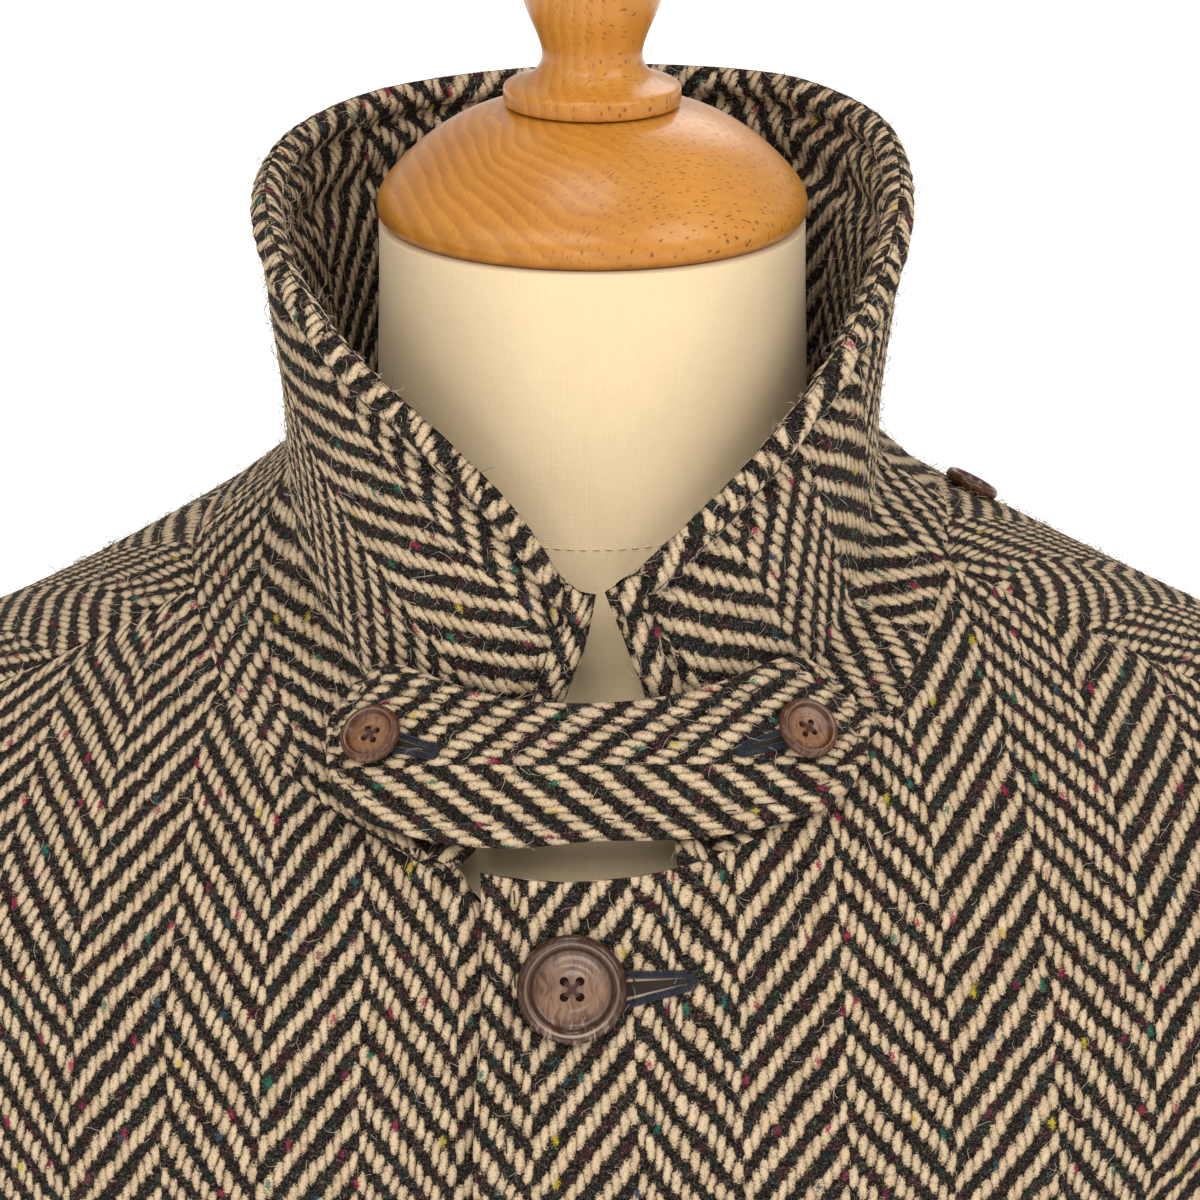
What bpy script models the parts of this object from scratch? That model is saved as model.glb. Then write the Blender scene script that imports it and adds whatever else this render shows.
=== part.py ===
"""A single-breasted herringbone tweed overcoat, buttoned up on a limbless tailor's form.

The coat is cut from panels of heavy cloth, each one a thin closed wall. All the body panels
lie on one smooth surface, given by a short table of rings from the neck seam to the hem. A
place on it is an azimuth in degrees, 0 at the centre front and growing towards +X, and a row,
which counts down the table. Two pieces that meet share their points on the seam and stand
apart by the seam gap. Left and right are the wearer's: the left front is the upper one and
lies at +X.

Metres, +Z up, the coat's front faces -Y. The origin is on the floor under the stand's pole.
"""

from collections import namedtuple

import bmesh
import bpy
import numpy as np
from mathutils import Matrix, Vector
from mathutils.bvhtree import BVHTree

CLOTH = 0.003              # thickness of the coat's tweed with its interlining
COLLAR_CLOTH = 0.0055      # the collar is two layers of tweed
LATCH_CLOTH = 0.005
SEAT_GAP = 0.0003          # between a piece and what it rests on
EDGE_INSET = 0.00018       # each edge at a seam is cut back by this, so the seam gap is twice it

# The shape of a ring: how square its outline is, and how its height changes from its sides
# towards the front and the back.
SQUARENESS = 2.2
FALL_TO_FRONT = 1.6
RISE_TO_BACK = 2.6

Ring = namedtuple("Ring", "name centre half front back z_front z_right z_left z_back")
COAT_RINGS = (
    Ring("neck seam",      -0.006, 0.100, 0.1160, 0.092, 1.393, 1.448, 1.456, 1.468),
    Ring("mid shoulder",    0.000, 0.160, 0.1270, 0.110, 1.352, 1.421, 1.423, 1.428),
    Ring("shoulder point",  0.000, 0.205, 0.1335, 0.119, 1.322, 1.401, 1.401, 1.392),
    Ring("shoulder turn",   0.000, 0.222, 0.1370, 0.122, 1.303, 1.385, 1.385, 1.366),
    Ring("upper armhole",   0.000, 0.229, 0.1400, 0.124, 1.280, 1.344, 1.344, 1.328),
    Ring("chest",           0.000, 0.225, 0.1430, 0.125, 1.243, 1.262, 1.262, 1.262),
    Ring("underarm",        0.000, 0.218, 0.1440, 0.123, 1.175, 1.178, 1.178, 1.178),
    Ring("waist",           0.000, 0.212, 0.1400, 0.119, 1.080, 1.080, 1.080, 1.080),
    Ring("hip",             0.000, 0.222, 0.1460, 0.132, 0.900, 0.900, 0.900, 0.900),
    Ring("thigh",           0.000, 0.236, 0.1560, 0.148, 0.700, 0.700, 0.700, 0.700),
    Ring("hem",             0.000, 0.250, 0.1680, 0.164, 0.470, 0.470, 0.470, 0.470),
)
UNDERARM_ROW = 6.1
CENTRE_UNDERARM_ROW = 5.6      # the row at the centre lines that is level with the underarm
TOP_FADE = 2.6                 # how fast the panel lines straighten below the shoulders
WAIST_ROW = 7
HEM_ROW = 10

# The skirt's soft folds: where each one stands out at the hem, how wide and how far.
Fold = namedtuple("Fold", "azimuth width depth")
SKIRT_FOLDS = (
    Fold(-157, 15, 0.014),
    Fold(-118, 12, 0.012),
    Fold(-70, 14, 0.013),
    Fold(-36, 11, 0.007),
    Fold(33, 12, 0.008),
    Fold(73, 13, 0.014),
    Fold(112, 14, 0.012),
    Fold(158, 13, 0.015),
)
FOLD_GROWTH = 1.3          # how late the folds open on the way down to the hem

# Seams on the body, as azimuths.
SHOULDER_SEAM = 75         # where the shoulder seam leaves the neck seam
SIDE_SEAM = 90
FRONT_EDGE_X = 0.030       # each front runs this far past the centre
NECK_EDGE = 11             # the same edge, as an azimuth on the neck seam
NECK_EDGE_ROW = 1.5        # the row from which the edge hangs straight
COLLAR_ENDS = (-14.5, 13.7)     # the collar's ends on the neck seam
UNDER_NECK_ROW = 0.2       # the under front's neck edge stays this far below the upper one's

# The armhole: an oval round the side seam's azimuth. A turn of 0 is its top, 90 its front.
ARMHOLE_SPREAD = 24
ARMHOLE_ROWS = (2.0, UNDERARM_ROW)
SHOULDER_TURN = 15         # where the shoulder seam meets the armhole
FRONT_SLEEVE_SEAM = 115
BACK_SLEEVE_SEAM = 250

# How many steps each stretch of a seam has. The pieces on both its sides use them.
Stretch = namedtuple("Stretch", "start stop steps")
NECK_STRETCHES = (
    Stretch(-180, -SHOULDER_SEAM, 10),
    Stretch(-SHOULDER_SEAM, COLLAR_ENDS[0], 6),
    Stretch(COLLAR_ENDS[0], -NECK_EDGE, 1),
    Stretch(-NECK_EDGE, NECK_EDGE, 3),
    Stretch(NECK_EDGE, COLLAR_ENDS[1], 1),
    Stretch(COLLAR_ENDS[1], SHOULDER_SEAM, 6),
    Stretch(SHOULDER_SEAM, 180, 10),
)
ARMHOLE_STRETCHES = (
    Stretch(SHOULDER_TURN, FRONT_SLEEVE_SEAM, 7),
    Stretch(FRONT_SLEEVE_SEAM, 180, 5),
    Stretch(180, BACK_SLEEVE_SEAM, 5),
    Stretch(BACK_SLEEVE_SEAM, 360 + SHOULDER_TURN, 10),
)
SHOULDER_STEPS = 5
SIDE_SEAM_STEPS = 9

# The under front lies below the upper one and rises to the surface beside its edge.
UNDER_DROP = CLOTH + 0.0008
UNDER_RISE = (-0.078, -0.034)      # x where the drop starts and where it is whole

# The collar above the neck seam: the roll is its lowest inner line, then it stands up.
COLLAR_CENTRE = -0.0025
ROLL = Ring("roll", COLLAR_CENTRE, 0.0790, 0.0985, 0.087, 1.405, 1.466, 1.472, 1.484)
CollarRow = namedtuple("CollarRow", "name rise half front back left_end right_end")
COLLAR_ROWS = (
    CollarRow("stand foot", 0.12, 0.0775, 0.0965, 0.0860, -7.0, 12.5),
    CollarRow("lower half", 0.38, 0.0785, 0.0940, 0.0860, -4.0, 10.5),
    CollarRow("upper half", 0.70, 0.0820, 0.0915, 0.0870, 0.0, 7.0),
    CollarRow("edge",       1.00, 0.0855, 0.0900, 0.0880, 2.3, 3.6),
)
ROLL_ENDS = (-10.5, 13.0)
EdgeHeight = namedtuple("EdgeHeight", "azimuth right left")
COLLAR_EDGE = (
    EdgeHeight(0, 1.4585, 1.4560),
    EdgeHeight(9, 1.4785, 1.4655),
    EdgeHeight(17, 1.4910, 1.4765),
    EdgeHeight(26, 1.5020, 1.4880),
    EdgeHeight(37, 1.5125, 1.5020),
    EdgeHeight(55, 1.5275, 1.5225),
    EdgeHeight(70, 1.5365, 1.5350),
    EdgeHeight(85, 1.5430, 1.5450),
    EdgeHeight(110, 1.5480, 1.5530),
    EdgeHeight(140, 1.5525, 1.5565),
    EdgeHeight(180, 1.5555, 1.5555),
)
EDGE_BLEND = 3             # degrees over which the edge's height is evened out
COLLAR_FINE_ROWS = (0, 0.5, 1, 1.5, 2, 3, 4, 5)

# The throat latch, a strap that buttons over the collar's foot.
LatchCut = namedtuple("LatchCut", "azimuth top bottom")
LATCH_CUTS = (
    LatchCut(-38.5, 1.4268, 1.4215),
    LatchCut(-37.0, 1.4302, 1.4178),
    LatchCut(-34.0, 1.4350, 1.4120),
    LatchCut(-29.0, 1.4380, 1.4048),
    LatchCut(-13.0, 1.4345, 1.3998),
    LatchCut(0.0, 1.4337, 1.4005),
    LatchCut(13.0, 1.4350, 1.4010),
    LatchCut(30.0, 1.4392, 1.4052),
    LatchCut(36.5, 1.4350, 1.4128),
    LatchCut(39.5, 1.4290, 1.4175),
    LatchCut(41.0, 1.4255, 1.4208),
)
LATCH_LEVELS = (0.0, 0.12, 0.3, 0.5, 0.7, 0.88, 1.0)
LATCH_STEP = 5             # degrees between its columns
LATCH_LIFT = 0.0006        # the strap's clearance over the steepest cloth below it
LATCH_SPREAD = 4           # degrees to each side over which it bridges that cloth

# A sleeve: its outer and inner edge lines, and its half width between front and back.
SleeveCut = namedtuple("SleeveCut", "name outer_x outer_z inner_x inner_z half_width forward")
SLEEVE_CUTS = (
    SleeveCut("head",       0.224, 1.3960, 0.2260, 1.171, 0.0860, 0.000),
    SleeveCut("head roll",  0.246, 1.3770, 0.2340, 1.158, 0.0900, 0.000),
    SleeveCut("cap",        0.264, 1.3400, 0.2380, 1.138, 0.0920, 0.000),
    SleeveCut("cap foot",   0.276, 1.2650, 0.2405, 1.108, 0.0925, 0.001),
    SleeveCut("upper arm",  0.284, 1.1650, 0.2430, 1.062, 0.0910, 0.003),
    SleeveCut("elbow",      0.290, 1.0400, 0.2470, 0.995, 0.0860, 0.008),
    SleeveCut("forearm",    0.295, 0.9150, 0.2520, 0.900, 0.0790, 0.018),
    SleeveCut("cuff",       0.300, 0.7900, 0.2580, 0.786, 0.0720, 0.032),
)
SLEEVE_FINE_ROWS = (0, 0.5, 1, 1.5, 2, 2.5, 3, 3.5, 4, 5, 6, 7, 8)

# The form. Its shoulders carry the coat, so their rings are the coat's, lowered to its seat.
FORM_SEAT = 0.0047         # the coat's wall and the seat gap, measured down the slope
FORM_RINGS = (
    Ring("neck top",    0, 0.0555, 0.0565, 0.0555, 1.5335, 1.5335, 1.5335, 1.5335),
    Ring("neck",        0, 0.0560, 0.0590, 0.0565, 1.500, 1.505, 1.505, 1.508),
    Ring("neck seam",   0, 0.0580, 0.0625, 0.0590, 1.463, 1.474, 1.474, 1.486),
    Ring("neck flare",  0, 0.0700, 0.0760, 0.0680, 1.424, 1.453, 1.455, 1.462),
)
FORM_SHOULDER_ROWS = (0.45, 0.7, 1.0, 1.4, 1.8)
FORM_SHOULDER_FRONT = (0.100, 0.107, 0.113, 0.117, 0.119)
FORM_SHOULDER_BACK = (0.084, 0.091, 0.098, 0.103, 0.105)
FORM_BODY_RINGS = (
    Ring("arm plate top",  0, 0.2000, 0.121, 0.107, 1.300, 1.381, 1.381, 1.362),
    Ring("arm plate",      0, 0.1960, 0.124, 0.109, 1.275, 1.335, 1.335, 1.320),
    Ring("chest",          0, 0.1830, 0.126, 0.108, 1.235, 1.245, 1.245, 1.245),
    Ring("ribs",           0, 0.1680, 0.118, 0.100, 1.165, 1.165, 1.165, 1.165),
    Ring("waist",          0, 0.1530, 0.108, 0.090, 1.070, 1.070, 1.070, 1.070),
    Ring("belly",          0, 0.1660, 0.115, 0.104, 0.980, 0.980, 0.980, 0.980),
    Ring("hip",            0, 0.1780, 0.120, 0.115, 0.890, 0.890, 0.890, 0.890),
    Ring("foot",           0, 0.1740, 0.117, 0.114, 0.800, 0.800, 0.800, 0.800),
)
FORM_SIDES = 36

# Turned wood, as radius and height down each outline.
Turn = namedtuple("Turn", "radius height")
CAP_BASE = 1.5338
CAP_OUTLINE = (
    Turn(0.0215, 1.5643), Turn(0.0300, 1.5622), Turn(0.0375, 1.5587), Turn(0.0445, 1.5538),
    Turn(0.0505, 1.5482), Turn(0.0546, 1.5430), Turn(0.0561, 1.5390), Turn(0.0556, 1.5358),
    Turn(0.0536, CAP_BASE),
)
FINIAL_FOOT = 1.5646
FINIAL_OUTLINE = (
    Turn(0.0060, 1.6590), Turn(0.0130, 1.6560), Turn(0.0190, 1.6490), Turn(0.0225, 1.6380),
    Turn(0.0232, 1.6250), Turn(0.0220, 1.6110), Turn(0.0196, 1.5990), Turn(0.0172, 1.5900),
    Turn(0.0143, 1.5830), Turn(0.0131, 1.5785), Turn(0.0138, 1.5745), Turn(0.0165, 1.5712),
    Turn(0.0205, 1.5698), Turn(0.0224, 1.5686), Turn(0.0230, 1.5668), Turn(0.0226, 1.5652),
    Turn(0.0216, FINIAL_FOOT),
)
BASE_OUTLINE = (
    Turn(0.0240, 0.0640), Turn(0.0340, 0.0600), Turn(0.0360, 0.0440), Turn(0.0480, 0.0340),
    Turn(0.1000, 0.0290), Turn(0.2020, 0.0230), Turn(0.2080, 0.0140), Turn(0.2020, 0.0000),
)
POLE_RADIUS = 0.016

# Horn buttons: a dished face inside a raised rim, as shares of the radius and thickness.
BUTTON_OUTLINE = (
    Turn(0.30, 0.52), Turn(0.62, 0.56), Turn(0.74, 0.86), Turn(0.84, 1.00),
    Turn(0.95, 0.86), Turn(1.00, 0.55), Turn(0.92, 0.14), Turn(0.70, 0.00),
)
Button = namedtuple("Button", "name x height radius thickness")
FRONT_BUTTONS = tuple(
    Button(f"front_button_{count + 1}", -0.003, height, 0.0138, 0.0048)
    for count, height in enumerate((1.3675, 1.2425, 1.1175, 0.9925, 0.8675))
)
LATCH_BUTTONS = (
    Button("latch_button_right", -0.0577, 1.4185, 0.0080, 0.0034),
    Button("latch_button_left", 0.0585, 1.4197, 0.0080, 0.0034),
)
SHOULDER_BUTTON = Button("shoulder_button", 0.1015, 1.4580, 0.0076, 0.0034)
SHOULDER_BUTTON_Y = 0.030
BUTTON_SIDES = 16
BUTTON_APPROACH = 0.015    # a button is lowered from this far off onto its cloth
LATCH_REACH = 0.103        # how far the strap's buttons are in front of the neck's axis

Finish = namedtuple("Finish", "name colour roughness metallic")
TWEED = Finish("tweed", (0.33, 0.27, 0.18), 0.95, 0.0)
CALICO = Finish("calico", (0.78, 0.71, 0.55), 0.90, 0.0)
BEECH = Finish("beech", (0.60, 0.33, 0.12), 0.38, 0.0)
HORN = Finish("horn", (0.13, 0.06, 0.035), 0.35, 0.0)


def clear_scene():
    """Removes what a new Blender file holds."""
    for existing in list(bpy.data.objects):
        bpy.data.objects.remove(existing, do_unlink=True)


def material(finish):
    """The Principled material of a finish, made once."""
    made = bpy.data.materials.get(finish.name)
    if made is None:
        made = bpy.data.materials.new(finish.name)
        made.use_nodes = True
        shader = made.node_tree.nodes["Principled BSDF"]
        shader.inputs["Base Color"].default_value = (*finish.colour, 1.0)
        shader.inputs["Roughness"].default_value = finish.roughness
        shader.inputs["Metallic"].default_value = finish.metallic
    return made


def add_object(name, shape, finish, sharp_angle):
    """Links a closed bmesh as a named object, its faces turned outwards and shaded smooth."""
    bmesh.ops.recalc_face_normals(shape, faces=shape.faces)
    if shape.calc_volume(signed=True) < 0:
        bmesh.ops.reverse_faces(shape, faces=shape.faces)
    mesh = bpy.data.meshes.new(name)
    shape.to_mesh(mesh)
    shape.free()
    mesh.materials.append(material(finish))
    mesh.shade_smooth()
    mesh.set_sharp_from_angle(angle=np.radians(sharp_angle))
    piece = bpy.data.objects.new(name, mesh)
    bpy.context.scene.collection.objects.link(piece)
    return piece


def smooth_step(low, high, value):
    """0 below low, 1 above high, and an even curve between."""
    share = np.clip((value - low) / (high - low), 0, 1)
    return share * share * (3 - 2 * share)


def along_rows(values, row):
    """A smooth curve through values at rows 0, 1, 2 and so on; values may be points."""
    values = np.asarray(values, float)
    row = np.clip(np.asarray(row, float), 0, len(values) - 1)
    low = np.minimum(row.astype(int), len(values) - 2)
    share = row - low
    if values.ndim > 1:
        share = share[..., None]
    slope = np.gradient(values, axis=0)
    start, stop = values[low], values[low + 1]
    square, cube = share**2, share**3
    return (start * (2 * cube - 3 * square + 1) + stop * (3 * square - 2 * cube)
            + slope[low] * (cube - 2 * square + share) + slope[low + 1] * (cube - square))


def ring_point(azimuth, centre, half, front, back, z_front, z_right, z_left, z_back):
    """Points on a ring: a rounded oval with its own height in front, at the sides and behind."""
    angle = np.radians(azimuth)
    across, ahead = np.sin(angle), np.cos(angle)
    is_front = ahead > 0
    depth = np.where(is_front, front, back)
    reach = (np.abs(across / half) ** SQUARENESS + np.abs(ahead / depth) ** SQUARENESS)
    radius = reach ** (-1 / SQUARENESS)
    z_side = (z_right + z_left) / 2 + (z_left - z_right) / 2 * across
    share = np.abs(ahead) ** np.where(is_front, FALL_TO_FRONT, RISE_TO_BACK)
    height = z_side + (np.where(is_front, z_front, z_back) - z_side) * share
    return np.stack([centre + radius * across, -radius * ahead, height], axis=-1)


def rings_surface(rings, azimuth, row):
    """Points of the smooth surface through a table of rings."""
    azimuth, row = np.broadcast_arrays(np.asarray(azimuth, float), np.asarray(row, float))
    sizes = np.array([ring[1:] for ring in rings])
    return ring_point(azimuth, *(along_rows(column, row) for column in sizes.T))


def fold_depth(azimuth, row):
    """How far the skirt's folds stand out, from nothing at the waist to all at the hem."""
    drop = np.clip((row - WAIST_ROW) / (HEM_ROW - WAIST_ROW), 0, 1)
    depth = np.zeros_like(azimuth)
    for fold in SKIRT_FOLDS:
        off = (azimuth - fold.azimuth + 180) % 360 - 180
        depth = depth + fold.depth * np.exp(-(off / fold.width) ** 2)
    return depth * drop**FOLD_GROWTH


def coat_surface(azimuth, row):
    """Points of the coat body's outer surface, skirt folds and all."""
    azimuth, row = np.broadcast_arrays(np.asarray(azimuth, float), np.asarray(row, float))
    point = rings_surface(COAT_RINGS, azimuth, row)
    out = point[..., :2] / np.linalg.norm(point[..., :2], axis=-1, keepdims=True)
    point[..., :2] += out * fold_depth(azimuth, row)[..., None]
    return point


def outward(surface, across, down):
    """Unit normals of a surface that is given by two coordinates."""
    step = 0.01
    by_across = surface(across + step, down) - surface(across - step, down)
    by_down = surface(across, down + step) - surface(across, down - step)
    normal = np.cross(by_down, by_across)
    return normal / np.linalg.norm(normal, axis=-1, keepdims=True)


def stations(stretches, start, stop):
    """The shared sample places on a seam, from start to stop in either direction."""
    places = []
    for stretch in stretches:
        places.extend(np.linspace(stretch.start, stretch.stop, stretch.steps + 1)[:-1])
    places.append(stretches[-1].stop)
    low, high = min(start, stop), max(start, stop)
    chosen = np.array([place for place in places if low - 1e-6 <= place <= high + 1e-6])
    return chosen if start < stop else chosen[::-1]


def armhole(turn, side):
    """Azimuth and row of the armhole at a turn; side is 1 at +X and -1 at -X."""
    top, bottom = ARMHOLE_ROWS
    angle = np.radians(turn)
    azimuth = side * (SIDE_SEAM - ARMHOLE_SPREAD * np.sin(angle))
    row = (top + bottom) / 2 - (bottom - top) / 2 * np.cos(angle)
    return np.stack([azimuth, row], axis=-1)


def fill_between(top, first, last, fade):
    """A grid of azimuths and rows between two side edges.

    Its first line is the top edge; fade says for each line how much of the top edge's own
    bend is left there.
    """
    across = np.linspace(0, 1, len(top))[None, :, None]
    bend = top - ((1 - across[0]) * top[0] + across[0] * top[-1])
    return (1 - across) * first[:, None] + across * last[:, None] + fade[:, None, None] * bend


def pull_back(outer, inner):
    """Moves a wall's edges in, so that neighbours stand apart by the seam gap."""
    for axis in (0, 1):
        for edge, inside in ((0, 1), (-1, -2)):
            outer_edge, outer_inside = outer.take(edge, axis), outer.take(inside, axis)
            step = outer_inside - outer_edge
            step *= EDGE_INSET / np.linalg.norm(step, axis=-1, keepdims=True)
            place = [slice(None)] * 3
            place[axis] = edge
            outer[tuple(place)] += step
            inner[tuple(place)] += step


def wall(name, outer, inner, finish):
    """A closed wall between two grids of points of the same size."""
    rows, columns = outer.shape[:2]
    shape = bmesh.new()
    grids = [[[shape.verts.new(point) for point in line] for line in grid]
             for grid in (outer, inner)]
    for grid in grids:
        for row in range(rows - 1):
            for column in range(columns - 1):
                shape.faces.new((grid[row][column], grid[row + 1][column],
                                 grid[row + 1][column + 1], grid[row][column + 1]))
    border = ([(0, column) for column in range(columns - 1)]
              + [(row, columns - 1) for row in range(rows - 1)]
              + [(rows - 1, column) for column in range(columns - 1, 0, -1)]
              + [(row, 0) for row in range(rows - 1, 0, -1)])
    front, back = grids
    for (row, column), (next_row, next_column) in zip(border, border[1:] + border[:1]):
        shape.faces.new((front[row][column], front[next_row][next_column],
                         back[next_row][next_column], back[row][column]))
    return add_object(name, shape, finish, sharp_angle=50)


def front_edge(row, side):
    """Azimuth of a front's edge, which hangs straight a little past the centre."""
    depth = along_rows([ring.front for ring in COAT_RINGS], row)
    at_edge = np.degrees(np.arctan2(FRONT_EDGE_X, depth))
    at_neck = smooth_step(0.0, NECK_EDGE_ROW, row)
    return -side * (NECK_EDGE * (1 - at_neck) + at_edge * at_neck)


def shoulder_seam(side):
    """The seam from the neck to the armhole, as azimuths and rows."""
    start = np.array([side * SHOULDER_SEAM, 0.0])
    stop = armhole(SHOULDER_TURN, side)
    share = np.linspace(0, 1, SHOULDER_STEPS + 1)[1:, None]
    return start + (stop - start) * share


def panel_edges(centre, turns, side):
    """The top and outer edges of a body panel.

    centre is the azimuth of its centre line on the neck seam; turns are its armhole places
    from the shoulder seam to the underarm.
    """
    neck = stations(NECK_STRETCHES, centre, side * SHOULDER_SEAM)
    is_under = (side < 0) & (neck > -NECK_EDGE - 1)
    neck_rows = np.where(is_under, UNDER_NECK_ROW, 0.0)
    top = np.concatenate([np.stack([neck, neck_rows], axis=-1), shoulder_seam(side)])
    seam_rows = np.linspace(UNDERARM_ROW, HEM_ROW, SIDE_SEAM_STEPS + 1)[1:]
    side_seam = np.stack([0 * seam_rows + side * SIDE_SEAM, seam_rows], axis=-1)
    last = np.concatenate([armhole(turns, side), side_seam])
    return top, last


def panel_grid(top, last, centre_line):
    """Fills a body panel; centre_line gives the azimuth of its inner edge for each row."""
    armhole_places = len(last) - SIDE_SEAM_STEPS
    above = np.linspace(top[0, 1], CENTRE_UNDERARM_ROW, armhole_places)
    below = np.linspace(CENTRE_UNDERARM_ROW, HEM_ROW, SIDE_SEAM_STEPS + 1)[1:]
    first_rows = np.concatenate([above, below])
    first = np.stack([centre_line(first_rows), first_rows], axis=-1)
    fade = np.clip(1 - first_rows / CENTRE_UNDERARM_ROW, 0, 1) ** TOP_FADE
    fade[0] = 1
    return fill_between(top, first, last, fade)


def under_drop(points, side):
    """How far a front lies below the surface: only the under one, beside the overlap."""
    if side > 0:
        return np.zeros(points.shape[:-1])
    return UNDER_DROP * smooth_step(*UNDER_RISE, points[..., 0])


def body_panel(name, grid, side, is_front):
    """A front or back as a wall on the coat's surface."""
    azimuth, row = grid[..., 0], grid[..., 1]
    outer = coat_surface(azimuth, row)
    normal = outward(coat_surface, azimuth, row)
    if is_front:
        outer = outer - normal * under_drop(outer, side)[..., None]
    inner = outer - normal * CLOTH
    pull_back(outer, inner)
    return wall(name, outer, inner, TWEED)


def add_fronts_and_backs():
    """The four panels of the coat's body."""
    for side, word in ((1, "left"), (-1, "right")):
        turns = stations(ARMHOLE_STRETCHES, SHOULDER_TURN, 180)
        top, last = panel_edges(-side * NECK_EDGE, turns, side)
        grid = panel_grid(top, last, lambda row, side=side: front_edge(row, side))
        body_panel(f"front_{word}", grid, side, is_front=True)
        turns = stations(ARMHOLE_STRETCHES, 360 + SHOULDER_TURN, 180)
        top, last = panel_edges(side * 180, turns, side)
        grid = panel_grid(top, last, lambda row, side=side: 0 * row + side * 180)
        body_panel(f"back_{word}", grid, side, is_front=False)


def sleeve_surface(turn, row, side):
    """Points of a sleeve; row 0 is the armhole and the last row is the cuff."""
    hole = armhole(turn, side)
    head = coat_surface(hole[..., 0], hole[..., 1])
    angle = np.radians(turn)
    lines = [head]
    for cut in SLEEVE_CUTS:
        middle_x, reach_x = (cut.outer_x + cut.inner_x) / 2, (cut.outer_x - cut.inner_x) / 2
        middle_z, reach_z = (cut.outer_z + cut.inner_z) / 2, (cut.outer_z - cut.inner_z) / 2
        lines.append(np.stack([side * (middle_x + reach_x * np.cos(angle)),
                               -cut.forward - cut.half_width * np.sin(angle),
                               middle_z + reach_z * np.cos(angle)], axis=-1))
    return along_rows(np.stack(lines), row)


def sleeve_piece(name, turns, side):
    """One of the two pieces of a sleeve, between two of its seams."""
    rows = np.array(SLEEVE_FINE_ROWS)
    step = 0.02

    def line(turn, row):
        return np.stack([sleeve_surface(np.array(place), row, side) for place in turn], axis=1)

    outer = line(turns, rows)
    by_turn = line(turns + step, rows) - line(turns - step, rows)
    by_row = line(turns, rows + step) - line(turns, rows - step)
    normal = side * np.cross(by_turn, by_row)
    inner = outer - normal / np.linalg.norm(normal, axis=-1, keepdims=True) * CLOTH
    pull_back(outer, inner)
    return wall(name, outer, inner, TWEED)


def add_sleeves():
    """Two-piece sleeves, hanging empty beside the body."""
    under = stations(ARMHOLE_STRETCHES, FRONT_SLEEVE_SEAM, BACK_SLEEVE_SEAM)
    over_back = stations(ARMHOLE_STRETCHES, BACK_SLEEVE_SEAM, 360 + SHOULDER_TURN) - 360
    over_front = stations(ARMHOLE_STRETCHES, SHOULDER_TURN, FRONT_SLEEVE_SEAM)
    over = np.concatenate([over_back, over_front[1:]])
    for side, word in ((1, "left"), (-1, "right")):
        sleeve_piece(f"sleeve_under_{word}", under, side)
        sleeve_piece(f"sleeve_top_{word}", over, side)


def edge_height(azimuth):
    """Height of the collar's top edge at an azimuth."""
    places = [-row.azimuth for row in COLLAR_EDGE[:0:-1]] + [row.azimuth for row in COLLAR_EDGE]
    heights = [row.right for row in COLLAR_EDGE[:0:-1]] + [row.left for row in COLLAR_EDGE]
    azimuth = (np.asarray(azimuth) + 180) % 360 - 180
    near = [np.interp(azimuth + shift, places, heights)
            for shift in (-EDGE_BLEND, 0, EDGE_BLEND)]
    return sum(near) / len(near)


def collar_surface(azimuth, row):
    """Points of the collar: row 0 the neck seam, 1 the roll, then up to its edge."""
    azimuth, row = np.broadcast_arrays(np.asarray(azimuth, float), np.asarray(row, float))
    seam = ring_point(azimuth, *COAT_RINGS[0][1:])
    roll = ring_point(azimuth, *ROLL[1:])
    lines = [seam, roll]
    top = edge_height(azimuth)
    for cut in COLLAR_ROWS:
        ring = ring_point(azimuth, COLLAR_CENTRE, cut.half, cut.front, cut.back, 0, 0, 0, 0)
        ring[..., 2] = roll[..., 2] + (top - roll[..., 2]) * cut.rise
        lines.append(ring)
    levels = np.stack(lines)
    low = np.minimum(row.astype(int), len(lines) - 2)
    share = (row - low)[..., None]
    slope = np.gradient(levels, axis=0)

    def pick(values, index):
        return np.take_along_axis(values, index[None, ..., None], axis=0)[0]

    square, cube = share**2, share**3
    return (pick(levels, low) * (2 * cube - 3 * square + 1)
            + pick(levels, low + 1) * (3 * square - 2 * cube)
            + pick(slope, low) * (cube - 2 * square + share)
            + pick(slope, low + 1) * (cube - square))


def collar_ends(row):
    """Azimuths of the collar's two front ends at a row."""
    left = [COLLAR_ENDS[0], ROLL_ENDS[0]] + [cut.left_end for cut in COLLAR_ROWS]
    right = [COLLAR_ENDS[1], ROLL_ENDS[1]] + [cut.right_end for cut in COLLAR_ROWS]
    return along_rows(left, row), along_rows(right, row)


def add_collar():
    """The turned-up collar, one wall from end to end round the back of the neck."""
    rows = np.array(COLLAR_FINE_ROWS, float)[:, None]
    seam_right = stations(NECK_STRETCHES, COLLAR_ENDS[1], 180)
    seam_left = 360 + stations(NECK_STRETCHES, -180, COLLAR_ENDS[0])[1:]
    seam = np.concatenate([seam_right, seam_left])[None, :]
    left_end, right_end = collar_ends(rows)
    share = (seam - seam[0, 0]) / (seam[0, -1] - seam[0, 0])
    shift_right, shift_left = right_end - COLLAR_ENDS[1], left_end - COLLAR_ENDS[0]
    azimuth = seam + shift_right * (1 - share) ** 3 + shift_left * share**3
    outer = collar_surface(azimuth, rows)
    inner = outer + outward(collar_surface, azimuth, rows) * COLLAR_CLOTH
    inner[0] = outer[0] - outward(coat_surface, azimuth[0], 0 * azimuth[0]) * CLOTH
    pull_back(outer, inner)
    return wall("collar", outer, inner, TWEED)


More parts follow.
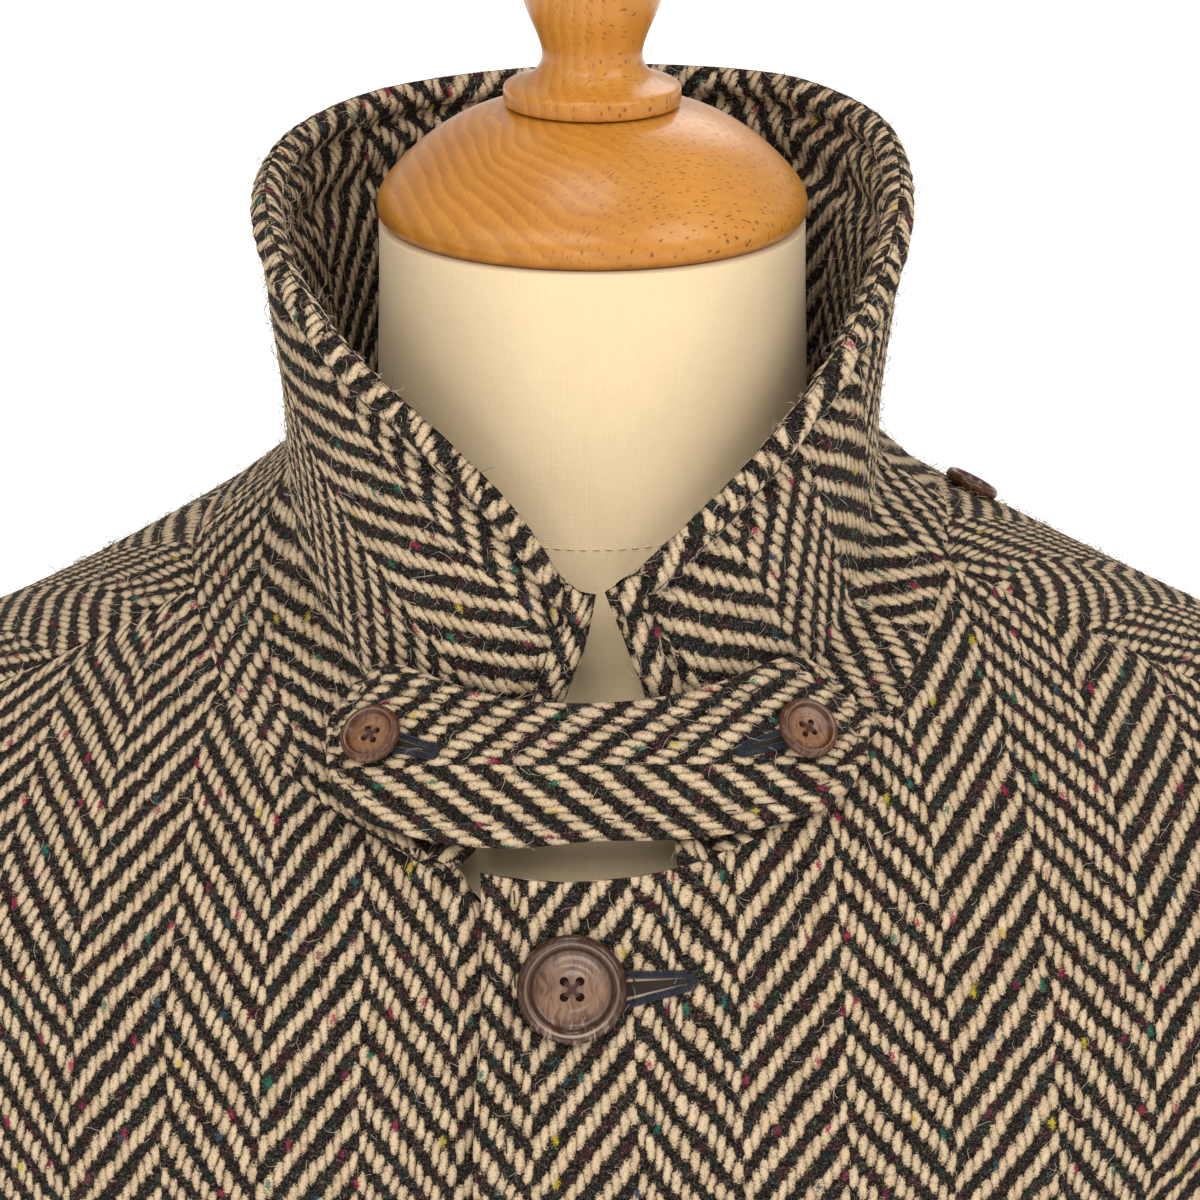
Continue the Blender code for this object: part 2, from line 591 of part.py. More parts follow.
def cloth_radius(azimuth, height):
    """Distance from the neck's axis to the collar's or the coat's outside at a height."""
    up = np.arange(3.0, 0.0, -0.1)
    down = np.arange(0.0, 1.2, 0.1)
    line = np.concatenate([collar_surface(azimuth, up), coat_surface(azimuth, down)])
    radius = np.hypot(line[:, 0], line[:, 1])
    return np.interp(-height, -line[:, 2], radius)


def latch_rest(azimuth, height):
    """Radius of the strap's back, which clears the cloth for a few degrees on each side."""
    near = [cloth_radius(azimuth + shift, height)
            for shift in (-LATCH_SPREAD, 0, LATCH_SPREAD)]
    return max(near) + LATCH_LIFT


def latch_line(azimuth, top, bottom):
    """The strap's back and face at an azimuth: straight lines that lean with the cloth."""
    heights = np.array([top + (bottom - top) * level for level in LATCH_LEVELS])
    radii = np.array([latch_rest(azimuth, height) for height in heights])
    slope, foot = np.polyfit(heights, radii, 1)
    back = slope * heights + foot
    back += np.max(radii - back)
    angle = np.radians(azimuth)
    points = np.stack([back * np.sin(angle), -back * np.cos(angle), heights], axis=-1)
    out = np.array([np.sin(angle), -np.cos(angle), -slope])
    return points, points + out / np.linalg.norm(out) * LATCH_CLOTH


def add_latch():
    """The throat latch, a strap with round ends bent round the foot of the collar."""
    ends = [cut.azimuth for cut in LATCH_CUTS]
    middle = np.arange(LATCH_CUTS[3].azimuth, LATCH_CUTS[-4].azimuth, LATCH_STEP)[1:]
    azimuths = np.unique(np.concatenate([ends[:4], middle, ends[-4:]]))
    tops = np.interp(azimuths, ends, [cut.top for cut in LATCH_CUTS])
    bottoms = np.interp(azimuths, ends, [cut.bottom for cut in LATCH_CUTS])
    lines = [latch_line(*place) for place in zip(azimuths, tops, bottoms)]
    inner = np.stack([line[0] for line in lines], axis=1)
    outer = np.stack([line[1] for line in lines], axis=1)
    return wall("throat_latch", outer, inner, TWEED)


def turned(outline, sides):
    """A closed bmesh of a turned piece about the Z axis."""
    shape = bmesh.new()
    rings = [[shape.verts.new((turn.radius * np.cos(angle), turn.radius * np.sin(angle),
                               turn.height))
              for angle in np.linspace(0, 2 * np.pi, sides, endpoint=False)]
             for turn in outline]
    for upper, lower in zip(rings, rings[1:]):
        for side in range(sides):
            after = (side + 1) % sides
            shape.faces.new((upper[side], lower[side], lower[after], upper[after]))
    shape.faces.new(rings[0])
    shape.faces.new(rings[-1])
    return shape


def add_form():
    """The form's torso: closed at the neck's top and at its flat foot."""
    sizes = zip(FORM_SHOULDER_ROWS, FORM_SHOULDER_FRONT, FORM_SHOULDER_BACK)
    shoulders = []
    for row, front, back in sizes:
        coat = [float(along_rows([ring[size] for ring in COAT_RINGS], row))
                for size in range(1, len(Ring._fields))]
        centre, half, _, _, *heights = coat
        lowered = (height - FORM_SEAT for height in heights)
        shoulders.append(Ring("shoulder", centre, half, front, back, *lowered))
    rings = (*FORM_RINGS, *shoulders, *FORM_BODY_RINGS)
    angles = np.linspace(0, 360, FORM_SIDES, endpoint=False)
    shape = bmesh.new()
    lines = [[shape.verts.new(ring_point(angle, *ring[1:])) for angle in angles]
             for ring in rings]
    for upper, lower in zip(lines, lines[1:]):
        for side in range(FORM_SIDES):
            after = (side + 1) % FORM_SIDES
            shape.faces.new((upper[side], lower[side], lower[after], upper[after]))
    shape.faces.new(lines[0])
    shape.faces.new(lines[-1])
    return add_object("form_torso", shape, CALICO, sharp_angle=60)


def add_stand():
    """The form's cap and finial, and the pole and base that it stands on."""
    add_object("neck_cap", turned(CAP_OUTLINE, 36), BEECH, sharp_angle=50)
    add_object("finial", turned(FINIAL_OUTLINE, 22), BEECH, sharp_angle=50)
    add_object("base", turned(BASE_OUTLINE, 40), BEECH, sharp_angle=50)
    top = FORM_BODY_RINGS[-1].z_front - SEAT_GAP
    foot = BASE_OUTLINE[0].height + SEAT_GAP
    pole = (Turn(POLE_RADIUS, top), Turn(POLE_RADIUS, foot))
    add_object("pole", turned(pole, 20), BEECH, sharp_angle=50)


def add_button(button, place, facing, cloth):
    """A turned button, its face along facing, seated just off the cloth behind it."""
    outline = [Turn(share.radius * button.radius, share.height * button.thickness)
               for share in BUTTON_OUTLINE]
    piece = add_object(button.name, turned(outline, BUTTON_SIDES), HORN, sharp_angle=60)
    turn = Vector(facing).to_track_quat("Z", "Y").to_matrix().to_4x4()
    facing, start = Vector(facing), Vector(place) + Vector(facing) * BUTTON_APPROACH
    tree = BVHTree.FromObject(cloth, bpy.context.evaluated_depsgraph_get())
    back = [vertex.co for vertex in piece.data.vertices if vertex.co.z < button.thickness / 2]
    room = BUTTON_APPROACH
    for point in (Vector(), *back):
        distance = tree.ray_cast(start + turn @ point, -facing)[3]
        room = min(room, distance if distance else room)
    piece.matrix_world = Matrix.Translation(start - facing * (room - SEAT_GAP)) @ turn


def coat_spot(x, height):
    """The place and the outward direction on the coat's front at an x and a height."""
    azimuth, rows = 0.0, np.arange(0.0, HEM_ROW, 0.01)
    for _ in range(6):
        line = coat_surface(azimuth, rows)
        row = np.interp(-height, -line[:, 2], rows)
        point = coat_surface(azimuth, row)
        azimuth = np.degrees(np.arctan2(x, -point[1]))
    return point, outward(coat_surface, np.array(azimuth), np.array(row))


def latch_spot(x, height):
    """The place and the direction of the strap's face at an x and a height."""
    azimuth = np.degrees(np.arctan2(x, LATCH_REACH))
    _, face = latch_line(azimuth, height + 0.01, height - 0.01)
    facing = np.cross(face[-1] - face[0], (np.cos(np.radians(azimuth)),
                                           np.sin(np.radians(azimuth)), 0))
    return face[len(face) // 2], facing / np.linalg.norm(facing)


def shoulder_spot(x, y):
    """The place and the direction on the top of the left shoulder at an x and a y."""
    azimuth, rows = np.degrees(np.arctan2(x, -y)), np.arange(0.0, 1.0, 0.01)
    line = coat_surface(azimuth, rows)
    row = np.interp(x, line[:, 0], rows)
    return (coat_surface(azimuth, row),
            outward(coat_surface, np.array(azimuth), np.array(row)))


def add_buttons():
    """The front's, the strap's and the shoulder's buttons, each on its own cloth."""
    cloth = bpy.data.objects
    for button in FRONT_BUTTONS:
        add_button(button, *coat_spot(button.x, button.height), cloth["front_left"])
    for button in LATCH_BUTTONS:
        add_button(button, *latch_spot(button.x, button.height), cloth["throat_latch"])
    spot = shoulder_spot(SHOULDER_BUTTON.x, SHOULDER_BUTTON_Y)
    add_button(SHOULDER_BUTTON, *spot, cloth["back_left"])


def main():
    """Builds the coat and what it stands on."""
    clear_scene()
    add_fronts_and_backs()
    add_sleeves()
    add_collar()
    add_latch()
    add_buttons()
    add_form()
    add_stand()


main()
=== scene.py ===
"""The looks of a herringbone tweed overcoat, buttoned up on a limbless tailor's form.

Every panel of the coat lies on the surface that its solid has, worked out here at a finer step.
A place on the coat's body is an azimuth in degrees, 0 at the centre front and growing towards
+X, and a row, which counts down the table of rings. Each panel is also laid out flat, without
stretching it, and its weave is drawn on that flat cloth. Left and right are the wearer's.

Metres, +Z up, the coat's front faces -Y.
"""

import logging
from collections.abc import Callable, Sequence
from dataclasses import dataclass, field
from enum import Enum
from typing import NamedTuple

import bmesh
import bpy
import numpy as np
from mathutils import Matrix, Vector


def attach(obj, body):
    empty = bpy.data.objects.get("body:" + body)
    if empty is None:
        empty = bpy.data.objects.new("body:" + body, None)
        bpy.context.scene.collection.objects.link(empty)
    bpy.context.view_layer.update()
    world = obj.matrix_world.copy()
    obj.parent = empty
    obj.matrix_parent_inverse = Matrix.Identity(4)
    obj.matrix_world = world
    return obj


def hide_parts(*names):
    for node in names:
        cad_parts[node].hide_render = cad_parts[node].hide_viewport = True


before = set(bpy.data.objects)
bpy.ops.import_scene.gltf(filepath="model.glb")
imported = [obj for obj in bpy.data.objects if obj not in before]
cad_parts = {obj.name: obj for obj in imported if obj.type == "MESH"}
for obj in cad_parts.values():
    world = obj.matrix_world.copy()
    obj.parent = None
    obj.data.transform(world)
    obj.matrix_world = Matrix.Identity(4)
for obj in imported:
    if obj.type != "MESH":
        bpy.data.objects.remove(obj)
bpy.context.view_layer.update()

Array = np.ndarray
Material = bpy.types.Material
Piece = bpy.types.Object
Socket = bpy.types.NodeSocket
LOG = logging.getLogger("coat")
BODY = "root"
MM = 0.001

CLOTH = 0.003
COLLAR_CLOTH = 0.0055
LATCH_CLOTH = 0.005
SQUARENESS = 2.2
FALL_TO_FRONT = 1.6
RISE_TO_BACK = 2.6
UNDERARM_ROW = 6.1
CENTRE_UNDERARM_ROW = 5.6
TOP_FADE = 2.6
WAIST_ROW = 7
HEM_ROW = 10
FOLD_GROWTH = 1.3
SHOULDER_SEAM = 75
SIDE_SEAM = 90
FRONT_EDGE_X = 0.030
NECK_EDGE = 11
NECK_EDGE_ROW = 1.5
COLLAR_ENDS = (-14.5, 13.7)
UNDER_NECK_ROW = 0.2
ARMHOLE_SPREAD = 24
ARMHOLE_ROWS = (2.0, UNDERARM_ROW)
SHOULDER_TURN = 15
FRONT_SLEEVE_SEAM = 115
BACK_SLEEVE_SEAM = 250
UNDER_DROP = CLOTH + 0.0008
UNDER_RISE = (-0.078, -0.034)


class Ring(NamedTuple):
    """One level of a rounded body: its size and its height in front, at the sides and behind."""

    name: str
    centre: float
    half: float
    front: float
    back: float
    z_front: float
    z_right: float
    z_left: float
    z_back: float


COAT_RINGS = (
    Ring("neck seam",      -0.006, 0.100, 0.1160, 0.092, 1.393, 1.448, 1.456, 1.468),
    Ring("mid shoulder",    0.000, 0.160, 0.1270, 0.110, 1.352, 1.421, 1.423, 1.428),
    Ring("shoulder point",  0.000, 0.205, 0.1335, 0.119, 1.322, 1.401, 1.401, 1.392),
    Ring("shoulder turn",   0.000, 0.222, 0.1370, 0.122, 1.303, 1.385, 1.385, 1.366),
    Ring("upper armhole",   0.000, 0.229, 0.1400, 0.124, 1.280, 1.344, 1.344, 1.328),
    Ring("chest",           0.000, 0.225, 0.1430, 0.125, 1.243, 1.262, 1.262, 1.262),
    Ring("underarm",        0.000, 0.218, 0.1440, 0.123, 1.175, 1.178, 1.178, 1.178),
    Ring("waist",           0.000, 0.212, 0.1400, 0.119, 1.080, 1.080, 1.080, 1.080),
    Ring("hip",             0.000, 0.222, 0.1460, 0.132, 0.900, 0.900, 0.900, 0.900),
    Ring("thigh",           0.000, 0.236, 0.1560, 0.148, 0.700, 0.700, 0.700, 0.700),
    Ring("hem",             0.000, 0.250, 0.1680, 0.164, 0.470, 0.470, 0.470, 0.470),
)


class Fold(NamedTuple):
    """A soft fold of the skirt: where it stands out at the hem, how wide and how far."""

    azimuth: float
    width: float
    depth: float


SKIRT_FOLDS = (
    Fold(-157, 15, 0.014), Fold(-118, 12, 0.012), Fold(-70, 14, 0.013), Fold(-36, 11, 0.007),
    Fold(33, 12, 0.008), Fold(73, 13, 0.014), Fold(112, 14, 0.012), Fold(158, 13, 0.015),
)


class Stretch(NamedTuple):
    """A stretch of a seam and its number of steps."""

    start: float
    stop: float
    steps: int


NECK_STRETCHES = (
    Stretch(-180, -SHOULDER_SEAM, 10),
    Stretch(-SHOULDER_SEAM, COLLAR_ENDS[0], 6),
    Stretch(COLLAR_ENDS[0], -NECK_EDGE, 1),
    Stretch(-NECK_EDGE, NECK_EDGE, 3),
    Stretch(NECK_EDGE, COLLAR_ENDS[1], 1),
    Stretch(COLLAR_ENDS[1], SHOULDER_SEAM, 6),
    Stretch(SHOULDER_SEAM, 180, 10),
)
ARMHOLE_STRETCHES = (
    Stretch(SHOULDER_TURN, FRONT_SLEEVE_SEAM, 7),
    Stretch(FRONT_SLEEVE_SEAM, 180, 5),
    Stretch(180, BACK_SLEEVE_SEAM, 5),
    Stretch(BACK_SLEEVE_SEAM, 360 + SHOULDER_TURN, 10),
)
SHOULDER_STEPS = 5
SIDE_SEAM_STEPS = 9
NEAR_EDGE = (0.12, 0.3, 0.55)         # steps from a piece's edge to its extra lines
NEAR_HEM = (0.03, 0.08, 0.16, 0.3, 0.55)


def smooth_step(low: float, high: float, value: Array) -> Array:
    """0 below low, 1 above high, and an even curve between."""
    share = np.clip((value - low) / (high - low), 0, 1)
    return share * share * (3 - 2 * share)


def bent(share: Array, start: Array, stop: Array, start_slope: Array,
         stop_slope: Array) -> Array:
    """A smooth curve from start to stop, read at shares of the way."""
    square, cube = share**2, share**3
    return (start * (2 * cube - 3 * square + 1) + stop * (3 * square - 2 * cube)
            + start_slope * (cube - 2 * square + share) + stop_slope * (cube - square))


def along(values: Array, place: Array) -> Array:
    """A smooth curve through values at 0, 1, 2 and so on, read at places between them.

    Args:
        values: numbers or points, one for each whole place.
        place: where the curve is read.

    Returns:
        One value for each place.
    """
    values = np.asarray(values, float)
    place = np.clip(np.asarray(place, float), 0, len(values) - 1)
    low = np.minimum(place.astype(int), len(values) - 2)
    share = (place - low).reshape(place.shape + (1,) * (values.ndim - 1))
    slope = np.gradient(values, axis=0)
    return bent(share, values[low], values[low + 1], slope[low], slope[low + 1])


def through_levels(levels: Array, row: Array) -> Array:
    """A smooth curve through levels of points, read at each grid place's own row."""
    slope = np.gradient(levels, axis=0)
    low = np.clip(row.astype(int), 0, len(levels) - 2)
    share = (row - low)[..., None]

    def pick(values: Array, level: Array) -> Array:
        """Each grid place's value at its own level."""
        return np.take_along_axis(values, level[None, ..., None], axis=0)[0]

    return bent(share, pick(levels, low), pick(levels, low + 1), pick(slope, low),
                pick(slope, low + 1))


def between(values: Array, place: Array) -> Array:
    """Straight-line readings of values at fractional places."""
    low = np.clip(place.astype(int), 0, len(values) - 2)
    share = (place - low).reshape(-1, *(1,) * (values.ndim - 1))
    return values[low] * (1 - share) + values[low + 1] * share


def unit(vectors: Array) -> Array:
    """The vectors at length 1."""
    return vectors / np.maximum(np.linalg.norm(vectors, axis=-1, keepdims=True), 1e-12)


def ring_point(azimuth: Array, centre: Array, half: Array, front: Array, back: Array,
               z_front: Array, z_right: Array, z_left: Array, z_back: Array) -> Array:
    """Points on a ring: a rounded oval with its own height in front, beside and behind.

    Args:
        azimuth: where on the ring, in degrees.
        centre: the oval's middle, across.
        half: half its width.
        front: its depth before the middle.
        back: its depth behind it.
        z_front: its height in front.
        z_right: its height at the wearer's right.
        z_left: its height at the left.
        z_back: its height behind.

    Returns:
        One point for each azimuth.
    """
    angle = np.radians(azimuth)
    across, ahead = np.sin(angle), np.cos(angle)
    is_front = ahead > 0
    depth = np.where(is_front, front, back)
    reach = np.abs(across / half) ** SQUARENESS + np.abs(ahead / depth) ** SQUARENESS
    radius = reach ** (-1 / SQUARENESS)
    z_side = (z_right + z_left) / 2 + (z_left - z_right) / 2 * across
    share = np.abs(ahead) ** np.where(is_front, FALL_TO_FRONT, RISE_TO_BACK)
    height = z_side + (np.where(is_front, z_front, z_back) - z_side) * share
    return np.stack([centre + radius * across, -radius * ahead, height], axis=-1)


def coat_surface(azimuth: Array, row: Array) -> Array:
    """Points of the coat body's outer surface, skirt folds and all."""
    azimuth, row = np.broadcast_arrays(np.asarray(azimuth, float), np.asarray(row, float))
    sizes = np.array([ring[1:] for ring in COAT_RINGS])
    point = ring_point(azimuth, *(along(column, row) for column in sizes.T))
    drop = np.clip((row - WAIST_ROW) / (HEM_ROW - WAIST_ROW), 0, 1)
    depth = np.zeros_like(azimuth)
    for fold in SKIRT_FOLDS:
        off = (azimuth - fold.azimuth + 180) % 360 - 180
        depth = depth + fold.depth * np.exp(-(off / fold.width) ** 2)
    out = unit(point[..., :2])
    point[..., :2] += out * (depth * drop**FOLD_GROWTH)[..., None]
    return point


def outward(surface: Callable, across: Array, down: Array) -> Array:
    """Unit normals of a surface that is given by two coordinates."""
    step = 0.01
    by_across = surface(across + step, down) - surface(across - step, down)
    by_down = surface(across, down + step) - surface(across, down - step)
    return unit(np.cross(by_down, by_across))


def stations(stretches: Sequence[Stretch], start: float, stop: float, finer: int) -> Array:
    """The sample places on a seam, from start to stop in either direction.

    Args:
        stretches: the seam's stretches with their plain numbers of steps.
        start: the first place.
        stop: the last place.
        finer: how many steps each plain step is cut into.

    Returns:
        The places in order.
    """
    places = [np.linspace(stretch.start, stretch.stop, stretch.steps * finer + 1)[:-1]
              for stretch in stretches]
    places = np.concatenate([*places, [stretches[-1].stop]])
    low, high = min(start, stop), max(start, stop)
    chosen = places[(places >= low - 1e-6) & (places <= high + 1e-6)]
    return chosen if start < stop else chosen[::-1]


def armhole(turn: Array, side: int) -> Array:
    """Azimuth and row of the armhole at a turn; side is 1 at +X and -1 at -X."""
    top, bottom = ARMHOLE_ROWS
    angle = np.radians(turn)
    azimuth = side * (SIDE_SEAM - ARMHOLE_SPREAD * np.sin(angle))
    row = (top + bottom) / 2 - (bottom - top) / 2 * np.cos(angle)
    return np.stack([azimuth, row], axis=-1)


def lengths_along(points: Array, axis: int) -> Array:
    """The distance of each grid point from the first line, measured along the grid."""
    step = np.linalg.norm(np.diff(points, axis=axis), axis=-1)
    start = np.zeros_like(step.take([0], axis))
    return np.cumsum(np.concatenate([start, step], axis), axis)


def edge_places(count: int, first: Sequence[float], last: Sequence[float]) -> Array:
    """Line numbers 0 to count - 1, with more lines beside the first and the last one.

    Args:
        count: the number of plain lines.
        first: the extra lines' places after the first line.
        last: the extra lines' distances before the last line.

    Returns:
        The fractional line numbers in order.
    """
    plain = np.arange(count, dtype=float)
    extra = [*first, *(count - 1 - share for share in last)]
    return np.unique(np.concatenate([plain, extra]))


@dataclass(frozen=True)
class Herringbone:
    """A two-and-two twill whose slant turns back from column to column.

    The pale ends run down the cloth and the dark picks across it.
    """

    end: float = 0.00203          # metres from one end to the next
    pick: float = 0.00275         # metres from one pick to the next
    column: int = 12              # ends in a column
    repeat: int = 4               # picks in a repeat of the twill
    turn_back: float = 2.0        # picks by which the twill jumps where it turns back

    def repeats(self, flat: Array) -> Array:
        """How far along the twill's repeat a flat place is, from 0 to 1; 0.5 is a pale rib."""
        end = flat[..., 0] / self.end
        column = np.floor(end / self.column)
        place = end - self.column * column
        odd = column % 2
        mirrored = place + odd * (self.column - 2 * place)
        whole = mirrored + flat[..., 1] / self.pick + odd * self.turn_back
        return (whole / self.repeat) % 1

    def rib(self, flat: Array) -> Array:
        """Height of the ribs at a flat place, as a share of their full height."""
        return 0.5 - 0.5 * np.cos(2 * np.pi * self.repeats(flat))


WEAVE = Herringbone()


def lay_flat(points: Array, passes: int = 120) -> Array:
    """Lays a grid of points out flat, keeping the lengths between neighbours.

    Each pass gives every thread of the grid its length on the body, and then finds the
    places that suit all the threads best.

    Args:
        points: rows x columns x 3, on the cloth as it is worn.
        passes: how often the threads are set to length.

    Returns:
        rows x columns x 2, in metres; columns run across and rows run down.
    """
    rows, columns = points.shape[:2]
    index = np.arange(rows * columns).reshape(rows, columns)
    first = np.concatenate([index[:, :-1].ravel(), index[:-1].ravel(),
                            index[:-1, :-1].ravel(), index[:-1, 1:].ravel()])
    last = np.concatenate([index[:, 1:].ravel(), index[1:].ravel(),
                           index[1:, 1:].ravel(), index[1:, :-1].ravel()])
    solid = points.reshape(-1, 3)
    length = np.maximum(np.linalg.norm(solid[first] - solid[last], axis=-1), 1e-6)
    weight = 1 / length
    system = np.zeros((rows * columns,) * 2)
    np.add.at(system, (first, first), weight)
    np.add.at(system, (last, last), weight)
    np.add.at(system, (first, last), -weight)
    np.add.at(system, (last, first), -weight)
    system[0, 0] += weight.max()
    inverse = np.linalg.inv(system)
    place = np.stack([lengths_along(points, 1), -lengths_along(points, 0)], -1).reshape(-1, 2)
    for _ in range(passes):
        step = place[first] - place[last]
        step *= (length / np.maximum(np.linalg.norm(step, axis=-1), 1e-9))[:, None]
        pull = np.zeros_like(place)
        np.add.at(pull, first, weight[:, None] * step)
        np.add.at(pull, last, -weight[:, None] * step)
        place = inverse @ pull
    return place.reshape(rows, columns, 2)


def curve_at(values: Array, nodes: Array, places: Array) -> Array:
    """A smooth curve through values at uneven nodes, read at the places."""
    slope = np.gradient(values, nodes, axis=0)
    low = np.clip(np.searchsorted(nodes, places, side="right") - 1, 0, len(nodes) - 2)
    shape = (-1,) + (1,) * (values.ndim - 1)
    width = (nodes[low + 1] - nodes[low]).reshape(shape)
    share = (places - nodes[low]).reshape(shape) / width
    return bent(share, values[low], values[low + 1], slope[low] * width, slope[low + 1] * width)


def flat_like(points: Array, row_step: int, column_step: int) -> Array:
    """Lays a fine grid flat through a coarser one, which keeps the work small.

    Args:
        points: rows x columns x 3, on the cloth as it is worn.
        row_step: how many fine rows a coarse one stands for, about.
        column_step: the same for the columns.

    Returns:
        rows x columns x 2, in metres.
    """
    far_down = lengths_along(points, 0).mean(1)
    far_across = lengths_along(points, 1).mean(0)
    rows = even_lines(far_down, points.shape[0] // row_step)
    columns = even_lines(far_across, points.shape[1] // column_step)
    coarse = lay_flat(points[np.ix_(rows, columns)])
    filled = curve_at(coarse, far_down[rows], far_down)
    across = curve_at(filled.swapaxes(0, 1), far_across[columns], far_across)
    return across.swapaxes(0, 1)


def even_lines(far: Array, count: int) -> Array:
    """The numbers of the lines that lie nearest to even distances, the first and last too."""
    wanted = np.linspace(0, far[-1], max(4, count))
    return np.unique(np.abs(far[None, :] - wanted[:, None]).argmin(1))


@dataclass(frozen=True)
class Lay:
    """How a piece lies on the cloth that it is cut from."""

    upright: tuple[int, int, int, int] = (0, 0, -1, 0)   # rows and columns of a line on the grid
    turn: float = 0.0          # degrees from the grain to that line
    wide: float = 1.0          # nearer 0 where steam has stretched the columns, below 0 mirrored
    column_shift: float = 0.0  # metres across, to a line between two columns
    pick_shift: float = 0.0    # metres along the grain

    def turned(self, flat: Array) -> Array:
        """The flat places turned so that the grain runs along the second number."""
        top_row, top_column, foot_row, foot_column = self.upright
        line = flat[top_row, top_column] - flat[foot_row, foot_column]
        tilt = np.arctan2(line[0], line[1]) + np.radians(self.turn)
        moved = flat - flat[top_row, top_column]
        across = moved[..., 0] * np.cos(tilt) - moved[..., 1] * np.sin(tilt)
        up = moved[..., 0] * np.sin(tilt) + moved[..., 1] * np.cos(tilt)
        return np.stack([across, up], axis=-1)

    def place(self, flat: Array) -> Array:
        """The flat places of a piece on the map of the weave."""
        return self.turned(flat) * (self.wide, 1) + (self.column_shift, self.pick_shift)


def placed(name: str, data: bpy.types.ID) -> Piece:
    """A new object in the scene, at the origin."""
    piece = bpy.data.objects.new(name, data)
    bpy.context.scene.collection.objects.link(piece)
    return piece


def from_arrays(name: str, points: Array, corners: Array, sizes: Array) -> Piece:
    """A smooth piece from arrays.

    Args:
        name: the piece's name.
        points: its points in metres.
        corners: the numbers of the points round each face, face after face.
        sizes: how many corners each face has.

    Returns:
        The piece.
    """
    mesh = bpy.data.meshes.new(name)
    mesh.vertices.add(len(points))
    mesh.vertices.foreach_set("co", points.ravel())
    mesh.loops.add(len(corners))
    mesh.loops.foreach_set("vertex_index", corners.astype(np.int32))
    mesh.polygons.add(len(sizes))
    starts = np.concatenate([[0], np.cumsum(sizes)[:-1]])
    mesh.polygons.foreach_set("loop_start", starts.astype(np.int32))
    mesh.polygons.foreach_set("loop_total", sizes.astype(np.int32))
    mesh.update(calc_edges=True)
    mesh.shade_smooth()
    return placed(name, mesh)


def from_faces(name: str, points: Array, faces: Sequence[Sequence[int]]) -> Piece:
    """A closed piece from points and faces, which are turned outwards.

    Args:
        name: the piece's name.
        points: its points in metres.
        faces: the numbers of the points round each face.

    Returns:
        The piece.
    """
    mesh = bpy.data.meshes.new(name)
    mesh.from_pydata(points, [], faces)
    shape = bmesh.new()
    shape.from_mesh(mesh)
    bmesh.ops.recalc_face_normals(shape, faces=shape.faces)
    shape.to_mesh(mesh)
    shape.free()
    return placed(name, mesh)


def squares(grid: Array) -> Array:
    """The four corners of each square of a grid, in turn."""
    return np.stack([grid[:-1, :-1], grid[1:, :-1], grid[1:, 1:], grid[:-1, 1:]], axis=2)


